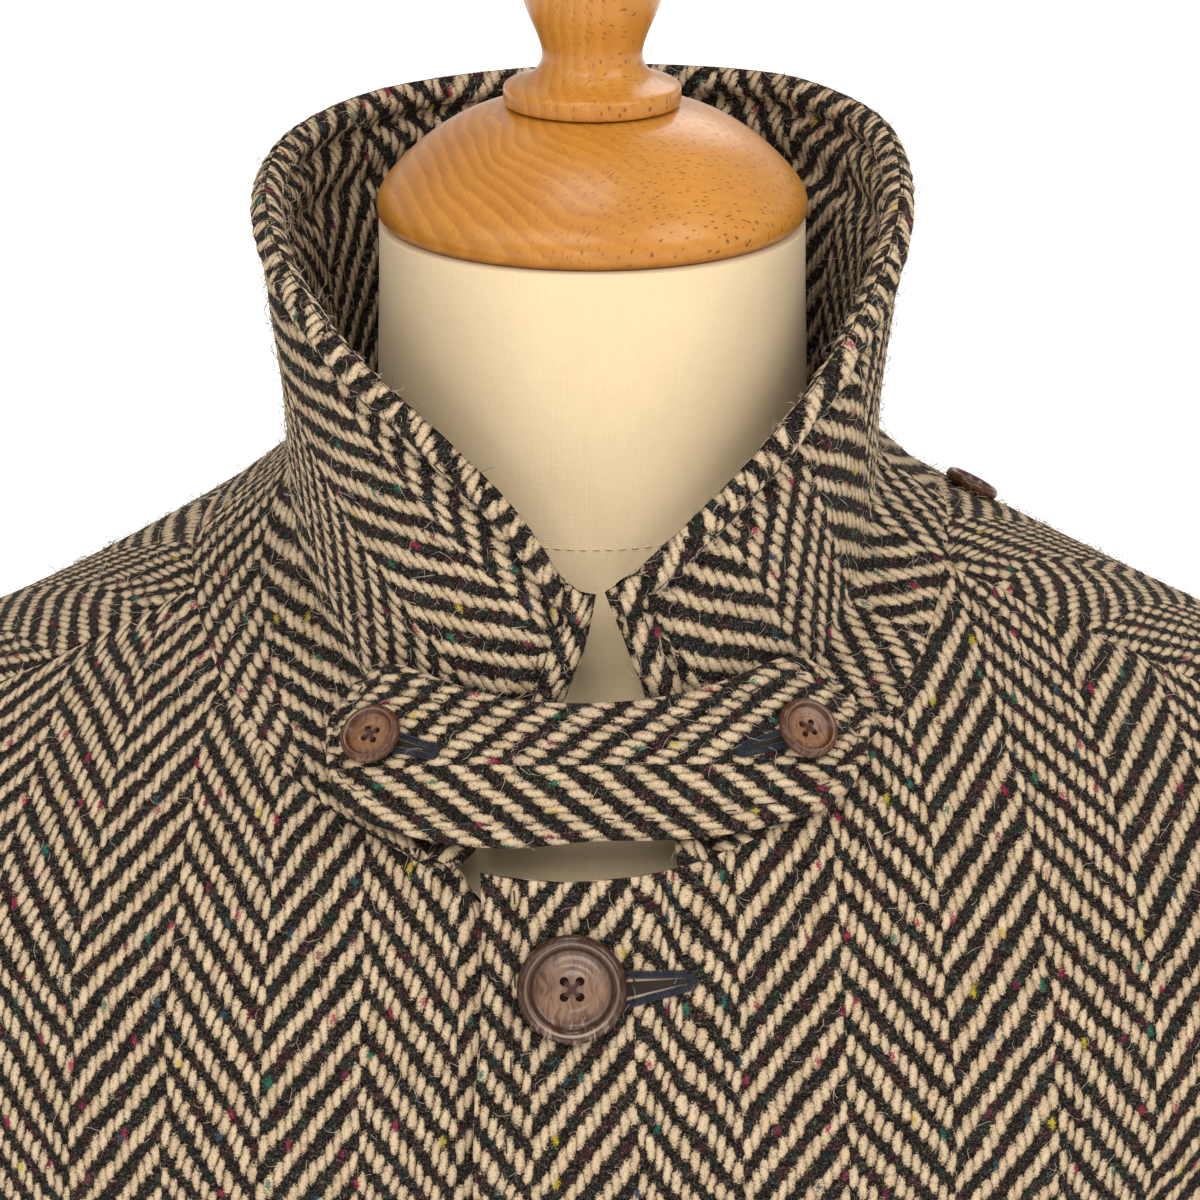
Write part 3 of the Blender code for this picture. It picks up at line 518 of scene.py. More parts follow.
@dataclass
class Wall:
    """A piece of cloth as two grids of points, with its weave's places on both."""

    name: str
    outer: Array
    inner: Array
    weaves: Sequence[Array]              # the outer side's, one for each part of it
    part: Array | None = None            # the part that each grid place belongs to
    inner_weave: Array | None = None
    inner_step: int = 1                  # the inner side keeps one line in this many
    kept: int = 5                        # and this many lines in a row at each edge

    def inner_lines(self, count: int) -> Array:
        """The lines that the inner side keeps."""
        plain = np.arange(0, count, self.inner_step)
        ends = [*range(min(self.kept, count)), *range(max(count - self.kept, 0), count)]
        return np.unique([*plain, *ends])

    def build(self) -> Piece:
        """Makes the closed mesh with its map named weave."""
        rows, columns = self.outer.shape[:2]
        index = np.arange(rows * columns).reshape(rows, columns)
        row_lines, column_lines = self.inner_lines(rows), self.inner_lines(columns)
        inner = self.inner[np.ix_(row_lines, column_lines)]
        inner_index = rows * columns + np.arange(inner[..., 0].size).reshape(inner.shape[:2])
        part = np.zeros((rows, columns), int) if self.part is None else self.part
        lining = self.weaves[0] if self.inner_weave is None else self.inner_weave
        lining = lining[np.ix_(row_lines, column_lines)]
        outer_map = np.zeros((rows - 1, columns - 1, 4, 2))
        for number, grid in enumerate(self.weaves):
            here = (part[:-1, :-1] == number)[..., None, None]
            outer_map = np.where(here, squares(grid), outer_map)
        facing_in = [0, 3, 2, 1]
        inner_faces = squares(inner_index)[:, :, facing_in]
        inner_map = squares(lining)[:, :, facing_in]
        rim, rim_map = self._rim(index, inner_index, row_lines, column_lines, part)
        points = np.concatenate([self.outer.reshape(-1, 3), inner.reshape(-1, 3)])
        faces = np.concatenate([squares(index).reshape(-1, 4), inner_faces.reshape(-1, 4)])
        corners = np.concatenate([outer_map.reshape(-1, 2), inner_map.reshape(-1, 2), rim_map])
        return self._mesh(points, faces, rim, corners)

    def _rim(self, index: Array, inner_index: Array, row_lines: Array, column_lines: Array,
             part: Array) -> tuple[Array, Array]:
        """Triangles round the edge, between all outer lines and the kept inner ones.

        Args:
            index: the outer points' numbers, as a grid.
            inner_index: the inner points' numbers, as a grid.
            row_lines: the rows that the inner side keeps.
            column_lines: the columns that it keeps.
            part: the part that each grid place belongs to.

        Returns:
            The triangles, and their corners' places on the weave.
        """
        rows, columns = index.shape
        border = [(0, column) for column in range(columns - 1)]
        border += [(row, columns - 1) for row in range(rows - 1)]
        border += [(rows - 1, column) for column in range(columns - 1, 0, -1)]
        border += [(row, 0) for row in range(rows - 1, 0, -1)]
        row_of = {int(line): place for place, line in enumerate(row_lines)}
        column_of = {int(line): place for place, line in enumerate(column_lines)}
        triangles, places = [], []
        at = int(inner_index[0, 0])
        for (row, column), (next_row, next_column) in zip(border, border[1:] + border[:1]):
            grid = self.weaves[part[min(row, next_row), min(column, next_column)]]
            here, there = grid[row, column], grid[next_row, next_column]
            triangles.append((index[next_row, next_column], index[row, column], at))
            places.extend((there, here, here))
            if next_row in row_of and next_column in column_of:
                onward = int(inner_index[row_of[next_row], column_of[next_column]])
                triangles.append((index[next_row, next_column], at, onward))
                places.extend((there, here, there))
                at = onward
        return np.array(triangles), np.array(places)

    def _mesh(self, points: Array, quads: Array, triangles: Array,
              corners: Array) -> Piece:
        """A mesh from quads and triangles, its faces turned outwards.

        Args:
            points: all points.
            quads: the sides' faces.
            triangles: the rim's faces.
            corners: the weave's place at each corner of the quads, then of the triangles.

        Returns:
            The piece.
        """
        a, b, c, d = (points[quads[:, corner]] for corner in range(4))
        volume = np.einsum("ij,ij->", a, np.cross(b, c)) + np.einsum("ij,ij->", a, np.cross(c, d))
        p, q, r = (points[triangles[:, corner]] for corner in range(3))
        volume += np.einsum("ij,ij->", p, np.cross(q, r))
        if volume < 0:
            quads, triangles = quads[:, ::-1], triangles[:, ::-1]
            square = corners[:len(quads) * 4].reshape(-1, 4, 2)[:, ::-1].reshape(-1, 2)
            narrow = corners[len(quads) * 4:].reshape(-1, 3, 2)[:, ::-1].reshape(-1, 2)
            corners = np.concatenate([square, narrow])
        faces = np.concatenate([quads.ravel(), triangles.ravel()])
        sizes = np.concatenate([np.full(len(quads), 4), np.full(len(triangles), 3)])
        piece = from_arrays(self.name, points, faces, sizes)
        piece.data.validate()
        layer = piece.data.uv_layers.new(name="weave")
        layer.uv.foreach_set("vector", corners.astype(np.float32).ravel())
        return piece


class Side(Enum):
    """A side of a grid of points: its first and last row, and its first and last column."""

    TOP = "top"
    FOOT = "foot"
    FIRST = "first"
    LAST = "last"

    def distances(self, points: Array) -> Array:
        """Every point's distance from this side, measured along the grid."""
        far = lengths_along(points, 0 if self in (Side.TOP, Side.FOOT) else 1)
        if self is Side.FOOT:
            return far[-1:] - far
        return far[:, -1:] - far if self is Side.LAST else far


@dataclass(frozen=True)
class EdgeWork:
    """How a piece's edges are finished: rolled where they are free, sunk in at seams."""

    rolled: tuple[Side, ...] = ()    # the free edges; the other ones are seams
    stitched: tuple[Side, ...] = ()  # where a line of topstitching runs
    roll: float = 0.0026             # metres over which the wall rounds off
    inset: float = 0.0093            # the stitching's distance from the edge
    groove: float = 0.0009           # how deep the stitching pulls the cloth in
    groove_width: float = 0.0016
    bead: float = 0.0004             # how far the cloth swells between stitching and edge
    seam_sink: float = 0.0007
    seam_width: float = 0.0016
    both_sides: bool = False
    thinning: float = 0.985          # 1 would make a rolled edge sharp

    def apply(self, outer: Array, inner: Array, normal: Array) -> tuple[Array, Array]:
        """Works the edges into the two sides of a wall.

        Args:
            outer: points of the outer side.
            inner: points of the inner side.
            normal: unit normals of the outer side.

        Returns:
            The moved points of the two sides.
        """
        middle = (outer + inner) / 2
        share = np.ones(outer.shape[:2])
        sunk = np.zeros(outer.shape[:2])
        for side in Side:
            distance = side.distances(middle)
            if side in self.rolled:
                off = np.clip(1 - distance / self.roll, 0, 1)
                share *= np.sqrt(1 - self.thinning * off**2)
            else:
                sunk += self.seam_sink * np.exp(-(distance / self.seam_width) ** 2)
        for side in self.stitched:
            off = side.distances(middle) - self.inset
            sunk += self.groove * np.exp(-(off / self.groove_width) ** 2)
            sunk -= self.bead * np.exp(-((off + self.inset * 0.5) / (self.inset * 0.3)) ** 2)
        outer_part, inner_part = outer - middle, inner - middle
        outer = middle + outer_part * share[..., None] - normal * sunk[..., None]
        inner = middle + inner_part * share[..., None]
        if self.both_sides:
            inner = inner + normal * sunk[..., None]
        return outer, inner


HEMMED = EdgeWork(rolled=(Side.FOOT,))
FRONT_EDGES = EdgeWork(rolled=(Side.FOOT, Side.FIRST), stitched=(Side.FIRST,),
                       groove=0.0008, bead=0.0005)
COLLAR_EDGES = EdgeWork(rolled=(Side.FOOT, Side.FIRST, Side.LAST),
                        stitched=(Side.FOOT, Side.FIRST, Side.LAST), roll=0.0044,
                        groove=0.0027, groove_width=0.0021, bead=0.0014, both_sides=True)
LATCH_EDGES = EdgeWork(rolled=tuple(Side), stitched=tuple(Side), roll=0.0030, inset=0.0068,
                       groove=0.0010, groove_width=0.0013, bead=0.0005)


CREASE_PLACES = 17           # how many places of a crease are measured from
CREASE_BOW = (0.05, -0.05)   # how far it bows out, as a share of its length


class Crease(NamedTuple):
    """A soft trough or ridge between two places on a piece's surface."""

    start: tuple[float, float]
    stop: tuple[float, float]
    width: float       # metres
    depth: float       # metres, below 0 for a ridge


def creased(points: Array, normal: Array, surface: Callable,
            creases: Sequence[Crease]) -> Array:
    """Presses creases into points of a surface.

    Args:
        points: rows x columns x 3.
        normal: the surface's unit normals there.
        surface: gives the surface's point at the two coordinates that the creases use.
        creases: the creases.

    Returns:
        The moved points.
    """
    sunk = np.zeros(points.shape[:2])
    for crease in creases:
        share = np.linspace(0, 1, CREASE_PLACES)
        start, stop = np.array(crease.start), np.array(crease.stop)
        bow = np.sin(share * np.pi)[:, None] * (stop - start)[::-1] * CREASE_BOW
        line = start + (stop - start) * share[:, None] + bow
        path = surface(line[:, 0], line[:, 1])
        reach = crease.width * 3
        low, high = path.min(0) - reach, path.max(0) + reach
        near = ((points > low) & (points < high)).all(-1)
        close = points[near]
        if not len(close):
            continue
        best, shade = np.full(len(close), np.inf), np.zeros(len(close))
        for place, spot in zip(share, path):
            distance = np.linalg.norm(close - spot, axis=-1)
            closer = distance < best
            best = np.where(closer, distance, best)
            shade = np.where(closer, place, shade)
        step = np.linalg.norm(np.diff(path, axis=0), axis=-1).mean()
        best = np.sqrt(np.maximum(best**2 - (step / 2) ** 2 * 0.5, 0))
        taper = np.sin(np.clip(shade, 0.02, 0.98) * np.pi) ** 0.8
        sunk[near] += crease.depth * np.exp(-(best / crease.width) ** 2) * taper
    return points - normal * sunk[..., None]


def ribbed(points: Array, normal: Array, weave: Array, height: float) -> Array:
    """Raises the twill's ribs on points of the cloth."""
    return points + normal * ((WEAVE.rib(weave) - 0.5) * height)[..., None]


def finish_cloth(piece: Piece, material: Material, nodes: Sequence[str],
                 flat: Array) -> None:
    """Args:
        piece: the sheet.
        material: its cloth.
        nodes: the solids that it replaces.
        flat: its places laid out flat; not used.
    """
    piece.data.materials.append(material)
    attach(piece, BODY)
    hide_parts(*nodes)


@dataclass
class BodyPanel:
    """A front or back of the coat."""

    name: str
    side: int                    # 1 at +X, the wearer's left
    is_front: bool
    across: int                  # how many steps a plain step across is cut into
    upper: int                   # the same for the rows down to the underarm
    lower: int                   # and for the rows below it
    lay: Lay
    edges: EdgeWork
    creases: Sequence[Crease] = ()
    rib_height: float = 0.0
    sewing: "Sewing | None" = None

    def front_edge(self, row: Array) -> Array:
        """Azimuth of a front's edge, which hangs straight a little past the centre."""
        depth = along([ring.front for ring in COAT_RINGS], row)
        at_edge = np.degrees(np.arctan2(FRONT_EDGE_X, depth))
        at_neck = smooth_step(0.0, NECK_EDGE_ROW, row)
        return -self.side * (NECK_EDGE * (1 - at_neck) + at_edge * at_neck)

    def centre_line(self, row: Array) -> Array:
        """Azimuth of the panel's inner edge."""
        return self.front_edge(row) if self.is_front else 0 * row + self.side * 180

    def grid(self) -> Array:
        """The panel's places as azimuths and rows."""
        side = self.side
        centre = -side * NECK_EDGE if self.is_front else side * 180
        neck = stations(NECK_STRETCHES, centre, side * SHOULDER_SEAM, self.across)
        is_under = (side < 0) & (neck > -NECK_EDGE - 1) & self.is_front
        soft = smooth_step(-NECK_EDGE - 4, -NECK_EDGE, neck) if is_under.any() else 0 * neck
        neck_rows = UNDER_NECK_ROW * soft
        seam_start = np.array([side * SHOULDER_SEAM, 0.0])
        share = np.linspace(0, 1, SHOULDER_STEPS * self.across + 1)[1:, None]
        shoulder = seam_start + (armhole(SHOULDER_TURN, side) - seam_start) * share
        top = np.concatenate([np.stack([neck, neck_rows], axis=-1), shoulder])
        first_turn = SHOULDER_TURN if self.is_front else 360 + SHOULDER_TURN
        turns = stations(ARMHOLE_STRETCHES, first_turn, 180, self.upper)
        seam_rows = np.linspace(UNDERARM_ROW, HEM_ROW, SIDE_SEAM_STEPS * self.lower + 1)[1:]
        side_seam = np.stack([0 * seam_rows + side * SIDE_SEAM, seam_rows], axis=-1)
        last = np.concatenate([armhole(turns, side), side_seam])
        above = np.linspace(top[0, 1], CENTRE_UNDERARM_ROW, len(turns))
        below = np.linspace(CENTRE_UNDERARM_ROW, HEM_ROW, len(seam_rows) + 1)[1:]
        first_rows = np.concatenate([above, below])
        first = np.stack([self.centre_line(first_rows), first_rows], axis=-1)
        fade = np.clip(1 - first_rows / CENTRE_UNDERARM_ROW, 0, 1) ** TOP_FADE
        fade[0] = 1
        columns = edge_places(len(top), NEAR_EDGE, NEAR_EDGE)
        rows = edge_places(len(first), NEAR_EDGE, NEAR_HEM)
        top_line = between(top, columns)
        part = (columns / (len(top) - 1))[None, :, None]
        bend = top_line - ((1 - part[0]) * top[0] + part[0] * top[-1])
        return ((1 - part) * between(first, rows)[:, None] + part * between(last, rows)[:, None]
                + between(fade, rows)[:, None, None] * bend)

    def build(self, material: Material) -> Piece:
        """Makes the panel, presses its creases and dresses it."""
        grid = self.grid()
        azimuth, row = grid[..., 0], grid[..., 1]
        outer = coat_surface(azimuth, row)
        normal = outward(coat_surface, azimuth, row)
        if self.is_front and self.side < 0:
            drop = UNDER_DROP * smooth_step(*UNDER_RISE, outer[..., 0])
            outer = outer - normal * drop[..., None]
        flat = flat_like(outer, row_step=9, column_step=7)
        weave = self.lay.place(flat)
        outer = creased(outer, normal, coat_surface, self.creases)
        inner = outer - normal * CLOTH
        outer, inner = self.edges.apply(outer, inner, normal)
        if self.rib_height:
            outer = ribbed(outer, normal, weave, self.rib_height)
        wall = Wall(f"{self.name}_tweed", outer, inner, [weave], inner_step=6)
        piece = wall.build()
        cut = self.lay.turned(flat)
        finish_cloth(piece, material, [self.name], cut)
        self.sewing = Sewing(self.name, outer, normal)
        return piece


class SleeveCut(NamedTuple):
    """One cut through a sleeve: its outer and inner edge lines and half its width."""

    name: str
    outer_x: float
    outer_z: float
    inner_x: float
    inner_z: float
    half_width: float
    forward: float


SLEEVE_CUTS = (
    SleeveCut("head",       0.224, 1.3960, 0.2260, 1.171, 0.0860, 0.000),
    SleeveCut("head roll",  0.246, 1.3770, 0.2340, 1.158, 0.0900, 0.000),
    SleeveCut("cap",        0.264, 1.3400, 0.2380, 1.138, 0.0920, 0.000),
    SleeveCut("cap foot",   0.276, 1.2650, 0.2405, 1.108, 0.0925, 0.001),
    SleeveCut("upper arm",  0.284, 1.1650, 0.2430, 1.062, 0.0910, 0.003),
    SleeveCut("elbow",      0.290, 1.0400, 0.2470, 0.995, 0.0860, 0.008),
    SleeveCut("forearm",    0.295, 0.9150, 0.2520, 0.900, 0.0790, 0.018),
    SleeveCut("cuff",       0.300, 0.7900, 0.2580, 0.786, 0.0720, 0.032),
)


@dataclass
class SleevePiece:
    """One of the two pieces of a sleeve, between two of its seams."""

    name: str
    side: int
    start: float                 # turns of its two seams
    stop: float
    lay: Lay
    creases: Sequence[Crease] = ()
    finer: int = 5
    rows: int = 132

    def surface(self, turn: Array, row: Array) -> Array:
        """Points of the sleeve; row 0 is the armhole and the last row is the cuff."""
        turn, row = np.broadcast_arrays(np.asarray(turn, float), np.asarray(row, float))
        hole = armhole(turn, self.side)
        lines = [coat_surface(hole[..., 0], hole[..., 1])]
        angle = np.radians(turn)
        for cut in SLEEVE_CUTS:
            middle_x, reach_x = (cut.outer_x + cut.inner_x) / 2, (cut.outer_x - cut.inner_x) / 2
            middle_z, reach_z = (cut.outer_z + cut.inner_z) / 2, (cut.outer_z - cut.inner_z) / 2
            lines.append(np.stack([self.side * (middle_x + reach_x * np.cos(angle)),
                                   -cut.forward - cut.half_width * np.sin(angle),
                                   middle_z + reach_z * np.cos(angle)], axis=-1))
        return through_levels(np.stack(lines), row)

    def build(self, material: Material) -> Piece:
        """Makes the piece, presses its creases and dresses it."""
        turns = stations(ARMHOLE_STRETCHES, max(self.start, SHOULDER_TURN), self.stop, self.finer)
        if self.start < SHOULDER_TURN:
            back = stations(ARMHOLE_STRETCHES, 360 + self.start, 360 + SHOULDER_TURN, self.finer)
            turns = np.concatenate([back[:-1] - 360, turns])
        turns = between(turns, edge_places(len(turns), NEAR_EDGE, NEAR_EDGE))
        rows = edge_places(self.rows, NEAR_EDGE, NEAR_EDGE) * len(SLEEVE_CUTS) / (self.rows - 1)
        turn, row = np.meshgrid(turns, rows)
        outer = self.surface(turn, row)
        step = 0.02
        by_turn = self.surface(turn + step, row) - self.surface(turn - step, row)
        below = np.maximum(row - step, 0)
        above = np.minimum(row + step, len(SLEEVE_CUTS))
        by_row = self.surface(turn, above) - self.surface(turn, below)
        normal = unit(self.side * np.cross(by_turn, by_row))
        flat = flat_like(outer, row_step=5, column_step=4)
        weave = self.lay.place(flat)
        outer = creased(outer, normal, self.surface, self.creases)
        inner = outer - normal * CLOTH
        outer, inner = HEMMED.apply(outer, inner, normal)
        piece = Wall(f"{self.name}_tweed", outer, inner, [weave], inner_step=3).build()
        finish_cloth(piece, material, [self.name], self.lay.turned(flat))
        return piece


class CollarRow(NamedTuple):
    """A level of the collar above its roll, up to its edge, and its two front ends."""

    name: str
    rise: float
    half: float
    front: float
    back: float
    left_end: float
    right_end: float


class EdgeHeight(NamedTuple):
    """Height of the collar's edge at an azimuth to the right and to the left."""

    azimuth: float
    right: float
    left: float


@dataclass
class Collar:
    """The turned-up collar, two layers of cloth from end to end round the neck."""

    centre: float = -0.0025
    roll: Ring = Ring("roll", -0.0025, 0.0790, 0.0985, 0.087, 1.405, 1.466, 1.472, 1.484)
    roll_ends: tuple[float, float] = (-10.5, 13.0)
    blend: float = 3
    rows: tuple[CollarRow, ...] = (
        CollarRow("stand foot", 0.12, 0.0775, 0.0965, 0.0860, -7.0, 12.5),
        CollarRow("lower half", 0.38, 0.0785, 0.0940, 0.0860, -4.0, 10.5),
        CollarRow("upper half", 0.70, 0.0820, 0.0915, 0.0870, 0.0, 7.0),
        CollarRow("edge",       1.00, 0.0855, 0.0900, 0.0880, 2.3, 3.6),
    )
    edge: tuple[EdgeHeight, ...] = (
        EdgeHeight(0, 1.4585, 1.4560), EdgeHeight(9, 1.4785, 1.4655),
        EdgeHeight(17, 1.4910, 1.4765), EdgeHeight(26, 1.5020, 1.4880),
        EdgeHeight(37, 1.5125, 1.5020), EdgeHeight(55, 1.5275, 1.5225),
        EdgeHeight(70, 1.5365, 1.5350), EdgeHeight(85, 1.5430, 1.5450),
        EdgeHeight(110, 1.5480, 1.5530), EdgeHeight(140, 1.5525, 1.5565),
        EdgeHeight(180, 1.5555, 1.5555),
    )
    across: int = 13             # how many steps each plain step along the seam is cut into
    lines: int = 68              # lines from the seam to the edge
    stand_share: float = 0.27    # the share of them below the roll
    near_edge: tuple[float, ...] = (0.06, 0.15, 0.3, 0.55)
    rib_height: float = 0.0005
    right_lay: Lay = Lay(upright=(-1, 212, 0, 212), turn=59, column_shift=-0.0015)
    left_lay: Lay = Lay(upright=(-1, 212, 0, 212), turn=20, wide=0.9, column_shift=-0.0017)
    inner_lay: Lay = Lay(upright=(-1, 212, 0, 212), column_shift=0.0122)
    crease_place: float = 0.027  # metres from the edge to the crease on the inside
    crease_depth: float = 0.0026
    crease_width: float = 0.0042
    sewing: "Sewing | None" = None
    inner_sewing: "Sewing | None" = None

    def edge_height(self, azimuth: Array) -> Array:
        """Height of the collar's top edge at an azimuth."""
        places = [-row.azimuth for row in self.edge[:0:-1]] + [row.azimuth for row in self.edge]
        heights = [row.right for row in self.edge[:0:-1]] + [row.left for row in self.edge]
        azimuth = (np.asarray(azimuth) + 180) % 360 - 180
        near = [np.interp(azimuth + shift, places, heights)
                for shift in (-self.blend, 0, self.blend)]
        return sum(near) / len(near)

    def surface(self, azimuth: Array, row: Array) -> Array:
        """Points of the collar: row 0 the neck seam, 1 the roll, then up to its edge."""
        azimuth, row = np.broadcast_arrays(np.asarray(azimuth, float), np.asarray(row, float))
        roll = ring_point(azimuth, *self.roll[1:])
        levels = [ring_point(azimuth, *COAT_RINGS[0][1:]), roll]
        top = self.edge_height(azimuth)
        for cut in self.rows:
            ring = ring_point(azimuth, self.centre, cut.half, cut.front, cut.back, 0, 0, 0, 0)
            ring[..., 2] = roll[..., 2] + (top - roll[..., 2]) * cut.rise
            levels.append(ring)
        return through_levels(np.stack(levels), row)

    def grid(self) -> tuple[Array, Array]:
        """The collar's places as azimuths and rows."""
        rows = np.linspace(0, 1, self.lines)
        low = self.stand_share
        rows = np.where(rows < low, rows / low, 1 + (rows - low) / (1 - low) * len(self.rows))
        near = self.near_edge
        rows = between(rows, edge_places(len(rows), near, near))
        right = stations(NECK_STRETCHES, COLLAR_ENDS[1], 180, self.across)
        left = 360 + stations(NECK_STRETCHES, -180, COLLAR_ENDS[0], self.across)[1:]
        seam = np.concatenate([right, left])
        seam = between(seam, edge_places(len(seam), near, near))[None, :]
        rows = rows[:, None]
        left_end = along([COLLAR_ENDS[0], self.roll_ends[0]]
                         + [cut.left_end for cut in self.rows], rows)
        right_end = along([COLLAR_ENDS[1], self.roll_ends[1]]
                          + [cut.right_end for cut in self.rows], rows)
        share = (seam - seam[0, 0]) / (seam[0, -1] - seam[0, 0])
        azimuth = (seam + (right_end - COLLAR_ENDS[1]) * (1 - share) ** 3
                   + (left_end - COLLAR_ENDS[0]) * share**3)
        return azimuth, np.broadcast_to(rows, azimuth.shape)

    def build(self, material: Material) -> Piece:
        """Makes the collar, its bead edge and its stitched groove, and dresses it."""
        azimuth, row = self.grid()
        outer = self.surface(azimuth, row)
        normal = -outward(self.surface, azimuth, np.clip(row, 0.011, 4.989))
        inner = outer - normal * COLLAR_CLOTH
        foot = outward(coat_surface, azimuth[0], 0 * azimuth[0])
        inner[0] = outer[0] - foot * CLOTH
        middle = int(np.argmin(np.abs(azimuth[0] - 180)))
        flat = flat_like(outer, row_step=5, column_step=10)
        right, left = self.right_lay.place(flat), self.left_lay.place(flat)
        lining = self.inner_lay.place(flat_like(inner, row_step=5, column_step=10))
        part = np.broadcast_to(np.arange(azimuth.shape[1]) >= middle, azimuth.shape) * 1
        to_edge = [side.distances(outer) for side in COLLAR_EDGES.stitched]
        part = np.where(np.minimum.reduce(to_edge) < COLLAR_EDGES.inset, 2, part)
        outer, inner = COLLAR_EDGES.apply(outer, inner, normal)
        rolled_over = lining * (-1, 1)
        outer_weave = np.where((part == 2)[..., None], rolled_over,
                               np.where((part == 1)[..., None], right, left))
        outer = ribbed(outer, normal, outer_weave, self.rib_height)
        inner = ribbed(inner, -normal, lining, self.rib_height)
        from_edge = lengths_along(outer, 0)[-1:] - lengths_along(outer, 0)
        off_crease = (from_edge - self.crease_place) / self.crease_width
        inner = inner + normal * (self.crease_depth * np.exp(-off_crease**2))[..., None]
        wall = Wall("collar_tweed", outer, inner, [left, right, rolled_over], part, lining)
        piece = wall.build()
        self.sewing = Sewing("collar", outer, normal)
        self.inner_sewing = Sewing("collar_inside", inner, -normal)
        finish_cloth(piece, material, ["collar"], flat)
        return piece


class LatchCut(NamedTuple):
    """The throat latch's top and bottom height at an azimuth."""

    azimuth: float
    top: float
    bottom: float


@dataclass
class ThroatLatch:
    """A strap with round ends that buttons over the collar's foot."""

    collar: Collar
    cuts: tuple[LatchCut, ...] = (
        LatchCut(-38.5, 1.4268, 1.4215), LatchCut(-37.0, 1.4302, 1.4178),
        LatchCut(-34.0, 1.4350, 1.4120), LatchCut(-29.0, 1.4380, 1.4048),
        LatchCut(-13.0, 1.4345, 1.3998), LatchCut(0.0, 1.4337, 1.4005),
        LatchCut(13.0, 1.4350, 1.4010), LatchCut(30.0, 1.4392, 1.4052),
        LatchCut(36.5, 1.4350, 1.4128), LatchCut(39.5, 1.4290, 1.4175),
        LatchCut(41.0, 1.4255, 1.4208),
    )
    levels: tuple[float, ...] = (0.0, 0.12, 0.3, 0.5, 0.7, 0.88, 1.0)
    lift: float = 0.0006
    spread: float = 4
    columns: int = 220
    rows: int = 54
    stations: int = 61           # places along the strap where its line is worked out
    smoothings: int = 3
    rib_height: float = 0.0005
    lay: Lay = Lay(upright=(0, 40, 0, 180), column_shift=0.02533)
    sewing: "Sewing | None" = None

    def cloth_radius(self, azimuth: float, height: float) -> float:
        """Distance from the neck's axis to the outside of the cloth at a height."""
        up, down = np.arange(3.0, 0.0, -0.1), np.arange(0.0, 1.2, 0.1)
        line = np.concatenate([self.collar.surface(azimuth, up), coat_surface(azimuth, down)])
        radius = np.hypot(line[:, 0], line[:, 1])
        return float(np.interp(-height, -line[:, 2], radius))

    def line(self, azimuth: float, top: float, bottom: float) -> tuple[Array, Array]:
        """The strap's back and face at an azimuth, each a straight line.

        Args:
            azimuth: degrees from the centre front.
            top: height of the strap's upper edge there.
            bottom: height of its lower edge.

        Returns:
            The two ends of the back's line and of the face's.
        """
        heights = np.array([top + (bottom - top) * level for level in self.levels])
        radii = np.array([max(self.cloth_radius(azimuth + shift, height)
                              for shift in (-self.spread, 0, self.spread)) + self.lift
                          for height in heights])
        slope, foot = np.polyfit(heights, radii, 1)
        back = slope * heights + foot
        back += np.max(radii - back)
        angle = np.radians(azimuth)
        points = np.stack([back * np.sin(angle), -back * np.cos(angle), heights], axis=-1)
        out = unit(np.array([np.sin(angle), -np.cos(angle), -slope]))
        return points[[0, -1]], points[[0, -1]] + out * LATCH_CLOTH

    def grids(self) -> tuple[Array, Array]:
        """The strap's face and back as grids of points."""
        places = np.linspace(0, len(self.cuts) - 1, self.stations)
        azimuth, top, bottom = along(np.array(self.cuts), places).T
        lines = [self.line(*cut) for cut in zip(azimuth, top, bottom)]
        backs = np.stack([line[0] for line in lines])
        faces = np.stack([line[1] for line in lines])
        for _ in range(self.smoothings):
            for grid in (backs, faces):
                grid[1:-1] = (grid[:-2] + 2 * grid[1:-1] + grid[2:]) / 4
        spread = lengths_along(faces.mean(1)[:, None], 0)[:, 0]
        near = (0.1, 0.25, 0.5)
        wanted = edge_places(self.columns, near, near) / (self.columns - 1) * spread[-1]
        at = np.interp(wanted, spread, np.arange(len(spread)))
        backs, faces = along(backs, at), along(faces, at)
        share = (edge_places(self.rows, near, near) / (self.rows - 1))[:, None, None]
        face = faces[:, 0] + (faces[:, 1] - faces[:, 0]) * share
        back = backs[:, 0] + (backs[:, 1] - backs[:, 0]) * share
        return face, back

    def build(self, material: Material) -> Piece:
        """Makes the strap with its rolled and stitched edge and dresses it."""
        outer, inner = self.grids()
        normal = unit(outer - inner)
        flat = flat_like(outer, row_step=5, column_step=7)
        weave = self.lay.place(flat)
        outer, inner = LATCH_EDGES.apply(outer, inner, normal)
        outer = ribbed(outer, normal, weave, self.rib_height)
        piece = Wall("throat_latch_tweed", outer, inner, [weave], inner_step=3).build()
        self.sewing = Sewing("throat_latch", outer, normal)
        cut = self.lay.turned(flat)
        finish_cloth(piece, material, ["throat_latch"], cut)
        return piece


def arithmetic(operation: str, number_first: bool = False) -> Callable:
    """An operator of a Wire that adds a Math node; its reflected form has the number first."""

    def operator(wire: "Wire", other: "Wire | float") -> "Wire":
        """Adds the node."""
        return wire.math(operation, *((other, wire) if number_first else (wire, other)))

    return operator


